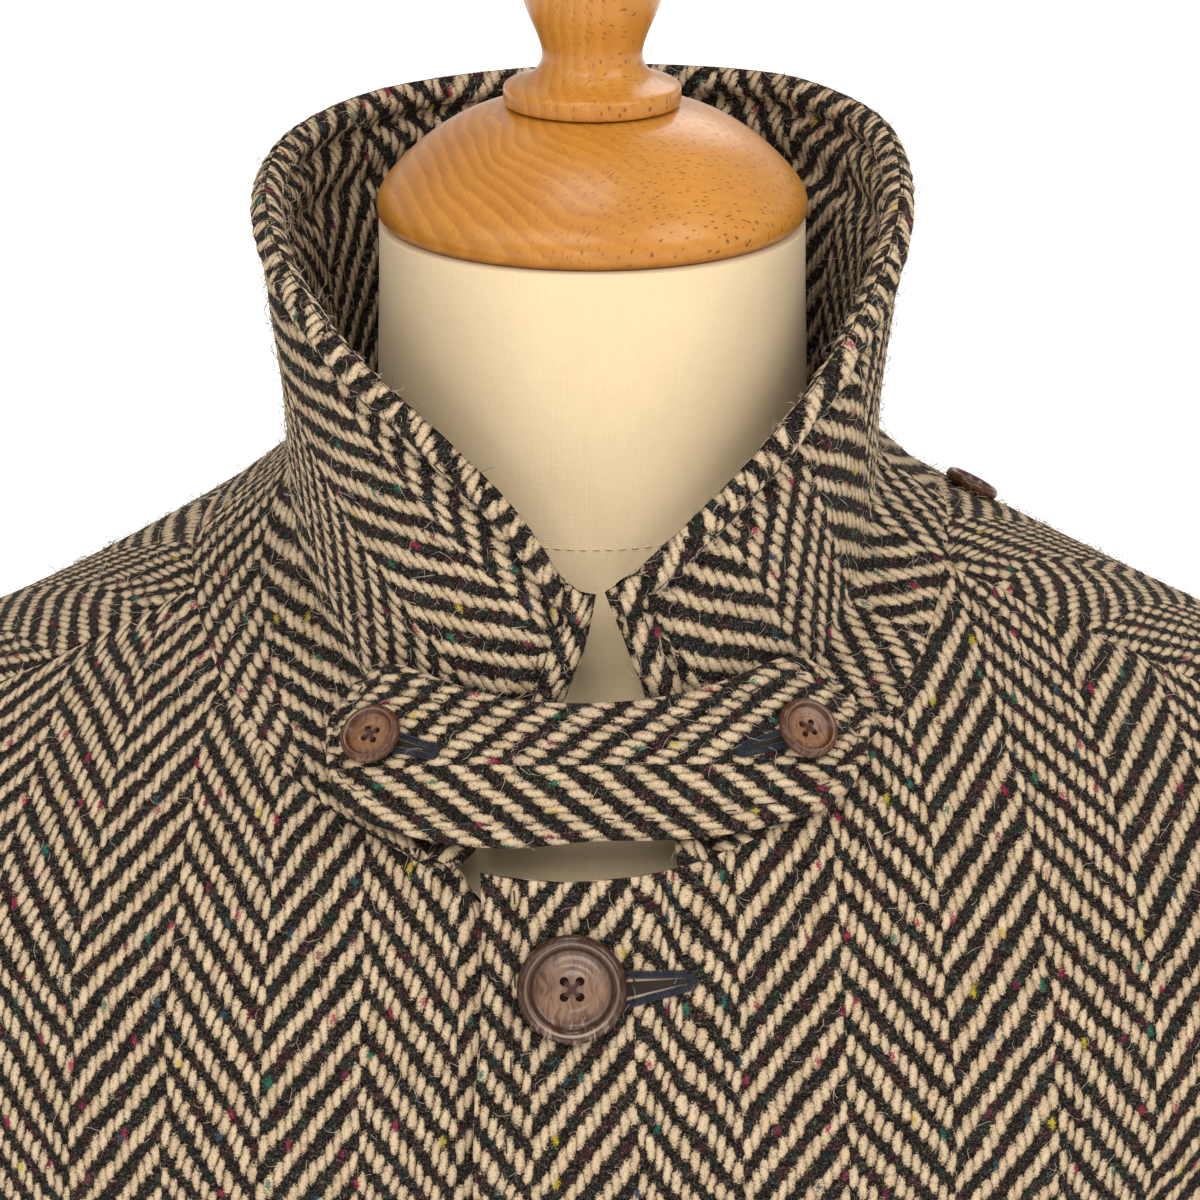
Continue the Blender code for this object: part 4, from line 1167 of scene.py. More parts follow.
@dataclass(frozen=True)
class Wire:
    """A number that runs through a material's nodes; arithmetic on it adds Math nodes."""

    tree: bpy.types.NodeTree
    socket: Socket

    def math(self, operation: str, *values: "Wire | float") -> "Wire":
        """Adds a Math node whose inputs are the values in order."""
        node = self.tree.nodes.new("ShaderNodeMath")
        node.operation = operation
        for place, value in enumerate(values):
            if isinstance(value, Wire):
                self.tree.links.new(value.socket, node.inputs[place])
            else:
                node.inputs[place].default_value = value
        return Wire(self.tree, node.outputs[0])

    __add__, __radd__ = arithmetic("ADD"), arithmetic("ADD", number_first=True)
    __sub__, __rsub__ = arithmetic("SUBTRACT"), arithmetic("SUBTRACT", number_first=True)
    __mul__, __rmul__ = arithmetic("MULTIPLY"), arithmetic("MULTIPLY", number_first=True)
    __truediv__, __rtruediv__ = arithmetic("DIVIDE"), arithmetic("DIVIDE", number_first=True)
    __pow__, __rpow__ = arithmetic("POWER"), arithmetic("POWER", number_first=True)

    def floor(self) -> "Wire":
        """The whole number below."""
        return self.math("FLOOR", self)

    def fraction(self) -> "Wire":
        """What is left above the whole number below."""
        return self.math("FRACT", self)

    def size(self) -> "Wire":
        """The value without its sign."""
        return self.math("ABSOLUTE", self)

    def sine(self) -> "Wire":
        """Sine of the value in radians."""
        return self.math("SINE", self)

    def most(self, other: "Wire | float") -> "Wire":
        """The greater of two values."""
        return self.math("MAXIMUM", self, other)

    def least(self, other: "Wire | float") -> "Wire":
        """The smaller of two values."""
        return self.math("MINIMUM", self, other)

    def kept(self) -> "Wire":
        """The value kept between 0 and 1."""
        return self.most(0.0).least(1.0)

    def ramp(self, low: float, high: float) -> "Wire":
        """0 at low, 1 at high, with soft ends; low may be above high."""
        node = self.tree.nodes.new("ShaderNodeMapRange")
        node.interpolation_type = "SMOOTHSTEP"
        self.tree.links.new(self.socket, node.inputs["Value"])
        flip = low > high
        node.inputs["From Min"].default_value = min(low, high)
        node.inputs["From Max"].default_value = max(low, high)
        node.inputs["To Min"].default_value = 1.0 if flip else 0.0
        node.inputs["To Max"].default_value = 0.0 if flip else 1.0
        return Wire(self.tree, node.outputs["Result"])


Colour = tuple[float, float, float]


class Recipe:
    """A material in the making: its Principled shader and the nodes that feed it."""

    def __init__(self, name: str, roughness: float, **fixed: float | Colour) -> None:
        """Starts a material; fixed are sockets of the shader that are alike all over."""
        self.material = bpy.data.materials.new(name)
        self.material.use_nodes = True
        self.tree = self.material.node_tree
        self.shader = self.tree.nodes["Principled BSDF"]
        self.dimensions = "3D"
        self.shader.inputs["Roughness"].default_value = roughness
        for word, value in fixed.items():
            socket = self.shader.inputs[word.replace("_", " ")]
            socket.default_value = (*value, 1.0) if isinstance(value, tuple) else value

    def node(self, kind: str, settings: dict, sockets: dict) -> bpy.types.Node:
        """Adds a node.

        Args:
            kind: the node's type.
            settings: its own settings, set first; stops are a colour ramp's.
            sockets: a value or a link for each input, by name or number.

        Returns:
            The node.
        """
        made = self.tree.nodes.new(kind)
        for word, value in settings.items():
            if word == "stops":
                self._set_stops(made.color_ramp, value)
            else:
                setattr(made, word, value)
        for socket, value in sockets.items():
            self.put(made.inputs[socket], value)
        return made

    def _set_stops(self, ramp: bpy.types.ColorRamp, stops: Sequence[tuple]) -> None:
        """Sets a colour ramp's stops, each a place and a colour."""
        while len(ramp.elements) > 1:
            ramp.elements.remove(ramp.elements[-1])
        ramp.elements[0].position = stops[0][0]
        ramp.elements[0].color = (*stops[0][1], 1.0)
        for place, colour in stops[1:]:
            ramp.elements.new(place).color = (*colour, 1.0)

    def put(self, socket: Socket, value: object) -> None:
        """Links or sets a socket."""
        if isinstance(value, Wire):
            self.tree.links.new(value.socket, socket)
        elif isinstance(value, Socket):
            self.tree.links.new(value, socket)
        elif isinstance(value, tuple) and len(value) == 3 and socket.type == "RGBA":
            socket.default_value = (*value, 1.0)
        else:
            socket.default_value = value

    def wire(self, socket: Socket) -> Wire:
        """A node's output as a number."""
        return Wire(self.tree, socket)

    def places(self, map_name: str | None = None) -> Socket:
        """Places in millimetres, on the piece's own map or else in the object's space."""
        if map_name:
            self.dimensions = "2D"
            start = self.node("ShaderNodeUVMap", {"uv_map": map_name}, {}).outputs["UV"]
        else:
            start = self.node("ShaderNodeTexCoord", {}, {}).outputs["Object"]
        scaled = self.node("ShaderNodeVectorMath", {"operation": "SCALE"},
                           {"Vector": start, "Scale": 1000.0})
        return scaled.outputs["Vector"]

    def split(self, vector: Socket) -> tuple[Wire, Wire, Wire]:
        """A vector's three numbers."""
        node = self.node("ShaderNodeSeparateXYZ", {}, {"Vector": vector})
        return tuple(self.wire(node.outputs[place]) for place in range(3))

    def join(self, x: Wire | float, y: Wire | float,
             z: Wire | float = 0.0) -> Socket:
        """A vector from three numbers."""
        return self.node("ShaderNodeCombineXYZ", {}, {0: x, 1: y, 2: z}).outputs[0]

    def noise(self, vector: Socket, size: float, detail: float = 2.0,
              roughness: float = 0.5) -> bpy.types.Node:
        """Cloudy noise whose features are about as big as size, in the vector's units."""
        return self.node("ShaderNodeTexNoise", {"noise_dimensions": self.dimensions},
                         {"Vector": vector, "Scale": 1.0 / size, "Detail": detail,
                          "Roughness": roughness})

    def cloud(self, *noise: object) -> Wire:
        """One number of a cloudy noise."""
        return self.wire(self.noise(*noise).outputs["Fac"])

    def clouds(self, *noise: object) -> tuple[Wire, Wire, Wire]:
        """Three numbers of a cloudy noise, each with clouds of its own."""
        return self.split(self.noise(*noise).outputs["Color"])

    def mix(self, share: Wire | float, first: object, second: object,
            blend: str = "MIX") -> Socket:
        """Mixes two colours."""
        node = self.node("ShaderNodeMix", {"data_type": "RGBA", "blend_type": blend},
                         {"Factor": share})
        self.put(node.inputs[6], first)
        self.put(node.inputs[7], second)
        return node.outputs[2]

    def finish(self, colour: object, height: Wire | None = None,
               roughness: Wire | None = None) -> Material:
        """Feeds the shader.

        Args:
            colour: the colour all over.
            height: the relief in millimetres.
            roughness: the roughness where it changes.

        Returns:
            The material.
        """
        self.put(self.shader.inputs["Base Color"], colour)
        if roughness is not None:
            self.put(self.shader.inputs["Roughness"], roughness)
        if height is not None:
            bump = self.node("ShaderNodeBump", {}, {"Strength": 1.0, "Distance": MM,
                                                    "Height": height})
            self.put(self.shader.inputs["Normal"], bump.outputs["Normal"])
        return self.material


@dataclass(frozen=True)
class TweedFinish:
    """Herringbone tweed: pale ends over dark, hairy picks, flecks of dyed wool and painted shade.
    """

    weave: Herringbone = WEAVE
    cream: Colour = (0.565, 0.425, 0.270)
    tan: Colour = (0.450, 0.315, 0.185)
    # painted shade colour of the floats, at their edges and in the gaps between them
    cream_painted_shade: Colour = (0.115, 0.072, 0.040)
    charcoal: Colour = (0.0085, 0.0068, 0.0058)
    # painted shade colour, blacker between the picks
    charcoal_painted_shade: Colour = (0.0022, 0.0019, 0.0019)
    maroon: Colour = (0.0300, 0.0075, 0.0095)
    bottle: Colour = (0.0070, 0.0155, 0.0125)
    pale_hair: Colour = (0.210, 0.170, 0.130)
    dark_hair: Colour = (0.050, 0.036, 0.026)
    relief: float = 0.95          # millimetres
    lean: float = 0.12            # ends by which a float leans over for each pick
    float_half: tuple[float, float] = (0.70, 1.40)     # half a float, in ends and in picks
    fleck_cell: float = 14.0      # millimetres between flecks
    flecks: tuple[tuple[float, Colour], ...] = (     # the draw a dye starts from, and the dye
        (0.00, (0.25, 0.014, 0.045)), (0.34, (0.010, 0.110, 0.070)),
        (0.56, (0.42, 0.32, 0.025)), (0.68, (0.12, 0.010, 0.035)),
        (0.86, (0.014, 0.050, 0.070)),
    )

    def make(self) -> Material:
        """Builds the material on the map named weave."""
        recipe = Recipe("tweed cloth", 0.95, Sheen_Weight=0.03, Sheen_Roughness=0.55,
                        Sheen_Tint=(0.80, 0.72, 0.62), Specular_IOR_Level=0.05)
        flat = recipe.places("weave")
        u, v, _ = recipe.split(flat)
        wide = recipe.clouds(flat, 8.0, 1.0)
        close = recipe.clouds(flat, 1.9, 1.0)
        fibre = recipe.cloud(flat, 0.50, 2.0, 0.6) - 0.5
        u = u + (wide[0] - 0.5) * 1.5 + (close[0] - 0.5) * 0.85
        v = v + (wide[1] - 0.5) * 2.4 + (close[1] - 0.5) * 1.5
        end = u / (self.weave.end / MM)
        up = v / (self.weave.pick / MM)
        column = (end / self.weave.column).floor()
        place = end - column * self.weave.column
        odd = (column / 2).fraction() * 2
        mirrored = place + odd * (self.weave.column - 2 * place)
        shift = odd * self.weave.turn_back
        thread = mirrored.floor()
        turns = (thread + 0.5 + up + shift) / self.weave.repeat
        lean = (1.0 - odd * 2) * self.lean
        pale, plump = self._floats(mirrored - thread - 0.5, turns, lean)
        row = up.floor()
        off_pick = up - row - 0.5
        back = ((mirrored + row + 0.5 + shift) / self.weave.repeat + 0.5).fraction() - 0.5
        dark = 0.75 - (back * self.weave.repeat / 1.5) ** 2 - (off_pick / 0.62) ** 2
        edge = pale - dark.most(-0.3) * 0.30 + fibre * 1.3
        is_pale = edge.ramp(0.28, 0.62)
        seed = recipe.join(column * 13.0 + thread, turns.floor())
        luck = recipe.split(recipe.node("ShaderNodeTexWhiteNoise", {"noise_dimensions": "2D"},
                                        {"Vector": seed}).outputs["Color"])
        twist = ((u * 1.7 + v * 2.1) + fibre * 3.0).sine()
        # painted shade: each float darkens from its top to its edges, and the gaps between floats
        # take the shade colour
        light = (plump + fibre * 0.8).ramp(0.16, 1.00) * (0.88 + luck[0] * 0.14) + twist * 0.03
        yarn = recipe.mix(luck[1].ramp(0.35, 1.0) * 0.45, self.cream, self.tan)
        cream = recipe.mix((light + fibre * 0.35).kept(), self.cream_painted_shade, yarn)
        colour = recipe.mix(is_pale, self._dark_picks(recipe, flat, dark, fibre), cream)
        colour = self._flecked(recipe, u, v, colour, fibre)
        colour = self._hairy(recipe, flat, colour, is_pale)
        height = plump.most(dark * 0.75 - 0.2).most(-0.5) * self.relief + fibre * 0.28
        return recipe.finish(colour, height)

    def _dark_picks(self, recipe: Recipe, flat: Socket, dark: Wire, fibre: Wire) -> Socket:
        """The dark picks' colour: charcoal, with wine and bottle green in places, and painted
        shade.

        Args:
            recipe: the material in the making.
            flat: places on the flat cloth, in millimetres.
            dark: the picks' height.
            fibre: the fibres' fine noise, about 0.

        Returns:
            The colour.
        """
        patch = recipe.clouds(flat, 5.0, 0.0)
        tint = recipe.mix(patch[0].ramp(0.57, 0.74) * 0.8, self.charcoal, self.maroon)
        tint = recipe.mix(patch[1].ramp(0.58, 0.75) * 0.8, tint, self.bottle)
        # painted shade: blacker where the picks' height falls away between them
        deep = (dark + fibre * 1.2).ramp(0.55, -0.15)
        return recipe.mix(deep * 0.85, tint, self.charcoal_painted_shade)

    def _floats(self, off_end: Wire, turns: Wire, lean: Wire) -> tuple[Wire, Wire]:
        """The pale floats at a place: their outline and their plump height.

        Args:
            off_end: the distance from the middle of the place's own end, in ends.
            turns: how far along the twill's repeat the place is.
            lean: how far a float leans over for each pick.

        Returns:
            The outline, above 0 on a float, and the height, 1 at its top.
        """
        half_width, half_length = self.float_half
        outline = plump = None
        for neighbour in (-1, 0, 1):
            along_end = (turns + neighbour / self.weave.repeat).fraction() - 0.5
            along_end = along_end * self.weave.repeat
            across = ((off_end - neighbour - along_end * lean) / half_width).size()
            far = (along_end / half_length).size()
            body = 1.0 - far ** 2.6 - across ** 2.6
            dome = 1.0 - far * far * 0.9 - across * across * 0.9
            outline = body if outline is None else outline.most(body)
            plump = dome if plump is None else plump.most(dome)
        return outline, plump

    def _hairy(self, recipe: Recipe, flat: Socket, colour: object,
               is_pale: Wire) -> Socket:
        """Lays thin curled hairs over the yarns: pale on the dark ones, dark on the pale.

        Args:
            recipe: the material in the making.
            flat: places on the flat cloth, in millimetres.
            colour: the yarns' colour.
            is_pale: 1 on the pale yarns.

        Returns:
            The colour with hairs on it.
        """
        for size, hair, on_pale in ((1.3, self.pale_hair, False), (2.1, self.dark_hair, True)):
            curl = recipe.clouds(flat, size, 1.0, 0.6)
            line = (curl[0] - 0.5).size().ramp(0.034, 0.008) * curl[1].ramp(0.42, 0.56)
            line = line.most((curl[2] - 0.5).size().ramp(0.026, 0.006) * curl[1].ramp(0.58, 0.46))
            share = is_pale * 0.30 if on_pale else (1.0 - is_pale) * 0.34
            colour = recipe.mix(line * (0.10 + share), colour, hair)
        return colour

    def _flecked(self, recipe: Recipe, u: Wire, v: Wire, colour: object,
                 fibre: Wire) -> Socket:
        """Adds the flecks of dyed wool.

        Args:
            recipe: the material in the making.
            u: place across the cloth, in millimetres.
            v: place along it.
            colour: the yarns' colour.
            fibre: the fibres' fine noise, about 0.

        Returns:
            The colour with flecks in it.
        """
        cell = self.fleck_cell
        spots = recipe.node("ShaderNodeTexVoronoi", {"voronoi_dimensions": "2D"},
                            {"Vector": recipe.join(u * 1.7, v * 0.85), "Scale": 1.0 / cell,
                             "Randomness": 1.0})
        luck = recipe.split(spots.outputs["Color"])
        near = recipe.wire(spots.outputs["Distance"]) * cell + fibre * 3.4
        is_fleck = near.ramp(1.55, 0.55) * luck[1].ramp(0.34, 0.40)
        dyes = recipe.node("ShaderNodeValToRGB", {"stops": self.flecks}, {"Fac": luck[0]})
        dyes.color_ramp.interpolation = "CONSTANT"
        return recipe.mix(is_fleck * 0.85, colour, dyes.outputs["Color"])


@dataclass(frozen=True)
class CalicoFinish:
    """Unbleached calico, stretched tight: a fine, slightly uneven weave."""

    cream: Colour = (0.700, 0.548, 0.343)
    shade: Colour = (0.580, 0.435, 0.250)
    thread: float = 0.55          # millimetres from thread to thread

    def make(self) -> Material:
        """Builds the material on the map named weave."""
        recipe = Recipe("calico", 0.85, Sheen_Weight=0.12, Sheen_Roughness=0.5,
                        Specular_IOR_Level=0.3)
        flat = recipe.places("weave")
        u, v, _ = recipe.split(flat)
        wander = recipe.clouds(flat, 4.0, 2.0)
        ends = ((u + wander[0] * 0.5) * (2 * np.pi / self.thread)).sine()
        picks = ((v + wander[1] * 0.5) * (2 * np.pi / self.thread)).sine()
        slub = recipe.cloud(recipe.join(u / 0.45, v / 7.0), 1.0, 2.0)
        cross = recipe.cloud(recipe.join(u / 7.0, v / 0.45), 1.0, 2.0)
        cloud = recipe.cloud(flat, 22.0, 2.0)
        tone = 0.6 + (slub - 0.5) * 0.4 + (cross - 0.5) * 0.3 + (cloud - 0.5) * 0.5 + ends * 0.06
        colour = recipe.mix(tone.kept(), self.shade, self.cream)
        height = ends * 0.018 + picks * 0.012 + (slub - 0.5) * 0.05 + (cross - 0.5) * 0.03
        return recipe.finish(colour, height)


@dataclass(frozen=True)
class BeechFinish:
    """Steamed beech under satin varnish: growth rings, and the short dark rays across them."""

    pale: Colour = (0.50, 0.212, 0.033)
    deep: Colour = (0.26, 0.084, 0.006)
    ray: Colour = (0.15, 0.042, 0.006)
    ring: float = 3.4             # millimetres from ring to ring
    heart: tuple[float, float] = (22.0, 850.0)     # where the rings' middle line passes

    def make(self) -> Material:
        """Builds the material in the object's space."""
        recipe = Recipe("beech", 0.34, Coat_Weight=0.20, Coat_Roughness=0.26,
                        Specular_IOR_Level=0.22)
        spot = recipe.places()
        x, y, z = recipe.split(spot)
        sway = recipe.clouds(spot, 45.0, 2.0)
        from_x = x - self.heart[0] + (sway[0] - 0.5) * 16
        from_y = (y + z * 0.55 - self.heart[1]) * 0.9 + (sway[1] - 0.5) * 16
        far = (from_x**2 + from_y**2) ** 0.5
        rings = (far / self.ring).fraction()
        soft = rings.ramp(0.0, 0.75) * rings.ramp(1.0, 0.86)
        grain = recipe.cloud(recipe.join((x + y * 0.4) / 0.5, y / 14.0, z / 1.2), 1.0, 3.0, 0.6)
        cloud = recipe.cloud(spot, 30.0, 2.0)
        ringed = soft * (0.10 + x.ramp(18.0, -22.0) * 0.22)
        tone = 0.66 - ringed + (grain - 0.5) * 0.45 + (cloud - 0.5) * 0.7
        # painted light: the wood is lighter towards +X, the side the light falls on
        tone = tone + x.ramp(-60.0, 60.0) * 0.2
        base = recipe.mix(tone.kept(), self.deep, self.pale)
        leaning = recipe.join((x * 0.87 + y * 0.49) / 3.4, (x * 0.49 - y * 0.87) / 0.62, z / 3.4)
        spots = recipe.node("ShaderNodeTexVoronoi", {"voronoi_dimensions": "3D"},
                            {"Vector": leaning, "Scale": 1.15, "Randomness": 1.0})
        luck = recipe.split(spots.outputs["Color"])
        near = recipe.wire(spots.outputs["Distance"])
        is_ray = near.ramp(0.32, 0.14) * luck[0].ramp(0.12, 0.34) * (0.45 + x.ramp(-30.0, 25.0))
        colour = recipe.mix((is_ray * 0.62).least(1.0), base, self.ray)
        height = (grain - 0.5) * 0.03 - is_ray * 0.02
        roughness = 0.30 + (grain - 0.5) * 0.16 + is_ray * 0.12
        return recipe.finish(colour, height, roughness)


class Horn(NamedTuple):
    """The colours of a piece of horn: its middle, its rim, and its pale streaks and painted
    highlight.
    """

    middle: Colour
    rim: Colour
    streak_and_highlight: Colour = (0.400, 0.280, 0.190)


BROWN_HORN = Horn((0.180, 0.100, 0.060), (0.034, 0.011, 0.004))
AMBER_HORN = Horn((0.180, 0.080, 0.034), (0.060, 0.018, 0.005))


@dataclass(frozen=True)
class HornFinish:
    """Polished horn, darker and redder to the rim, with paler streaks, a painted highlight ring
    and painted shade in a groove.
    """

    name: str
    horn: Horn
    centre: tuple[float, float, float]     # the button's middle, in metres
    radius: float

    def make(self) -> Material:
        """Builds the material in the object's space."""
        recipe = Recipe(self.name, 0.34, Coat_Weight=0.24, Coat_Roughness=0.08,
                        Specular_IOR_Level=0.20)
        x, y, z = recipe.split(recipe.places())
        cx, cy, cz = (value / MM for value in self.centre)
        x, y, z = x - cx, y - cy, z - cz
        far = ((x * x + y * y + z * z) ** 0.5) / (self.radius / MM)
        sway = recipe.clouds(recipe.join(x, y, z), 5.0, 2.0)
        flow = recipe.join((x + (sway[0] - 0.5) * 5) / 0.9, y / 2.0, (z + x * 0.35) / 6.0)
        streaks = recipe.cloud(flow, 1.0, 3.0, 0.6)
        low = (z * -1.0 / (self.radius / MM)).ramp(0.15, 0.95)
        pale = streaks.ramp(0.46, 0.66) * (0.08 + 0.55 * low)
        dark = streaks.ramp(0.50, 0.34) * 0.45
        cloud = recipe.cloud(recipe.join(x, y, z), 9.0, 1.0)
        base = recipe.mix(far.ramp(0.54, 0.86), self.horn.middle, self.horn.rim)
        base = recipe.mix((dark + cloud.ramp(0.52, 0.38) * 0.4).least(1.0), base, self.horn.rim)
        colour = recipe.mix(pale, base, self.horn.streak_and_highlight)
        # painted highlight: a pale ring just inside the rim, stronger towards the bottom
        ring = (far - 0.905).size().ramp(0.035, 0.010) * (0.25 + 0.5 * low)
        colour = recipe.mix(ring, colour, self.horn.streak_and_highlight)
        # painted shade: a darker ring in the groove where the face drops inside the rim
        groove = (far - 0.80).size().ramp(0.085, 0.045) * 0.6
        colour = recipe.mix(groove, colour, self.horn.rim)
        fine = recipe.cloud(recipe.join(x, y, z), 0.6, 2.0)
        return recipe.finish(colour, (fine - 0.5) * 0.02, 0.26 + (streaks - 0.5) * 0.2)


@dataclass(frozen=True)
class ThreadFinish:
    """Twisted sewing thread or yarn of one colour."""

    name: str
    light: Colour
    dark: Colour
    sheen: float = 0.15

    def make(self) -> Material:
        """Builds the material in the object's space."""
        recipe = Recipe(self.name, 0.75, Sheen_Weight=self.sheen, Sheen_Roughness=0.4,
                        Specular_IOR_Level=0.3)
        spot = recipe.places()
        x, y, z = recipe.split(spot)
        twist = ((x * 9.0 + z * 11.0 + y * 5.0)).sine() * 0.5 + 0.5
        fibre = recipe.cloud(spot, 0.25, 2.0)
        share = (twist * 0.6 + fibre * 0.5).least(1.0)
        return recipe.finish(recipe.mix(share, self.dark, self.light), twist * 0.04 + fibre * 0.04)


SEAM_THREAD = ThreadFinish("dark thread", (0.040, 0.034, 0.032), (0.010, 0.008, 0.008))
NAVY_THREAD = ThreadFinish("navy thread", (0.013, 0.018, 0.036), (0.0015, 0.002, 0.005))
# painted shade: the dark leaf that fills each buttonhole's slit
SLIT_SHADE = ThreadFinish("buttonhole shade", (0.022, 0.012, 0.006), (0.004, 0.0025, 0.0015))
SLIT_LIP = ThreadFinish("buttonhole lip", (0.560, 0.430, 0.280), (0.160, 0.110, 0.060))
PALE_HAIR = ThreadFinish("pale hair", (0.50, 0.42, 0.31), (0.28, 0.22, 0.155))
DARK_HAIR = ThreadFinish("dark hair", (0.060, 0.052, 0.045), (0.012, 0.010, 0.009))
BUTTON_THREAD = ThreadFinish("button thread", (0.085, 0.034, 0.024), (0.026, 0.011, 0.008))
COVER_THREAD = ThreadFinish("cover thread", (0.80, 0.66, 0.45), (0.50, 0.38, 0.22))


def start_fresh() -> None:
    """Leaves edit mode and selects nothing."""
    if bpy.context.object and bpy.context.object.mode != "OBJECT":
        bpy.ops.object.mode_set(mode="OBJECT")
    bpy.ops.object.select_all(action="DESELECT")


def lathe(name: str, outline: Sequence[tuple[float, float]], sides: int) -> Piece:
    """Turns a closed piece about the Z axis, ring by ring.

    Args:
        name: the piece's name.
        outline: radius and height of each ring, from the middle of one face to the other's.
        sides: how many sides a ring has.

    Returns:
        The piece, standing on the Z axis.
    """
    start_fresh()
    radius, height = outline[0]
    bpy.ops.mesh.primitive_circle_add(vertices=sides, radius=radius, fill_type="NGON",
                                      location=(0, 0, height))
    piece = bpy.context.object
    piece.name = piece.data.name = name
    bpy.ops.object.mode_set(mode="EDIT")
    bpy.ops.mesh.select_mode(type="FACE")
    bpy.ops.mesh.select_all(action="SELECT")
    for next_radius, next_height in outline[1:]:
        move = {"value": (0, 0, next_height - height)}
        bpy.ops.mesh.extrude_region_move(TRANSFORM_OT_translate=move)
        wider = next_radius / radius
        bpy.ops.transform.resize(value=(wider, wider, 1), center_override=(0, 0, next_height))
        radius, height = next_radius, next_height
    bpy.ops.mesh.select_all(action="SELECT")
    bpy.ops.mesh.normals_make_consistent(inside=False)
    bpy.ops.object.mode_set(mode="OBJECT")
    bpy.ops.object.transform_apply(location=True, rotation=True, scale=True)
    return piece


def soft_outline(outline: Sequence[tuple[float, float]], finer: int) -> list[tuple]:
    """An outline with smooth curves between its given places."""
    places = np.linspace(0, len(outline) - 1, (len(outline) - 1) * finer + 1)
    return [tuple(place) for place in along(np.array(outline), places)]


def apply_modifier(piece: Piece, kind: str, **settings: object) -> None:
    """Adds a modifier to a piece and applies it."""
    start_fresh()
    piece.select_set(True)
    bpy.context.view_layer.objects.active = piece
    modifier = piece.modifiers.new(kind.lower(), kind)
    for word, value in settings.items():
        setattr(modifier, word, value)
    bpy.ops.object.modifier_apply(modifier=modifier.name)


def shade(piece: Piece, degrees: float) -> None:
    """Shades a piece smooth, but for edges that are sharper than the angle."""
    start_fresh()
    piece.select_set(True)
    bpy.context.view_layer.objects.active = piece
    bpy.ops.object.shade_smooth_by_angle(angle=np.radians(degrees))


def finish_hard(piece: Piece, material: Material,
                nodes: Sequence[str] = ()) -> Piece:
    """Gives a hard piece its material and its body.

    Args:
        piece: the piece.
        material: its finish.
        nodes: the solids that it replaces.

    Returns:
        The piece.
    """
    piece.data.materials.clear()
    piece.data.materials.append(material)
    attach(piece, BODY)
    if nodes:
        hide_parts(*nodes)
    LOG.info("%s: %d faces", piece.name, len(piece.data.polygons))
    return piece


@dataclass
class Stand:
    """The form's turned beech: the cap, the finial, the pole and the base."""

    sides: int = 96
    finer: int = 4               # steps between two places of an outline
    cap_outline: tuple = (       # radius and height, in metres
        (0.0215, 1.5643), (0.0300, 1.5622), (0.0375, 1.5587), (0.0445, 1.5538),
        (0.0505, 1.5482), (0.0546, 1.5430), (0.0561, 1.5390), (0.0556, 1.5358),
        (0.0536, 1.5338),
    )
    finial_outline: tuple = (
        (0.0060, 1.6590), (0.0130, 1.6560), (0.0190, 1.6490), (0.0225, 1.6380),
        (0.0232, 1.6250), (0.0220, 1.6110), (0.0196, 1.5990), (0.0172, 1.5900),
        (0.0143, 1.5830), (0.0131, 1.5785), (0.0137, 1.5750), (0.0162, 1.5722),
        (0.0200, 1.5707), (0.0222, 1.5699), (0.0230, 1.5690), (0.0231, 1.5672),
        (0.0229, 1.5651), (0.0221, 1.5646),
    )
    base_outline: tuple = (
        (0.0240, 0.0640), (0.0340, 0.0600), (0.0360, 0.0440), (0.0480, 0.0340),
        (0.1000, 0.0290), (0.2020, 0.0230), (0.2080, 0.0140), (0.2020, 0.0000),
    )
    pole_radius: float = 0.016
    pole_top: float = 0.7997
    pole_foot: float = 0.0643

    def build(self, material: Material) -> None:
        """Turns the pieces and varnishes them."""
        turned = (("neck_cap_beech", self.cap_outline), ("finial_beech", self.finial_outline),
                  ("base_beech", self.base_outline))
        pieces = [lathe(name, soft_outline(outline, self.finer), self.sides)
                  for name, outline in turned]
        bevel = 0.001
        pole_line = [(self.pole_radius - bevel, self.pole_top),
                     (self.pole_radius, self.pole_top - bevel),
                     (self.pole_radius, (self.pole_top + self.pole_foot) / 2),
                     (self.pole_radius, self.pole_foot + bevel),
                     (self.pole_radius - bevel, self.pole_foot)]
        for piece in (*pieces, lathe("pole_beech", pole_line, self.sides // 2)):
            shade(piece, 50)
            finish_hard(piece, material, [piece.name.removesuffix("_beech")])


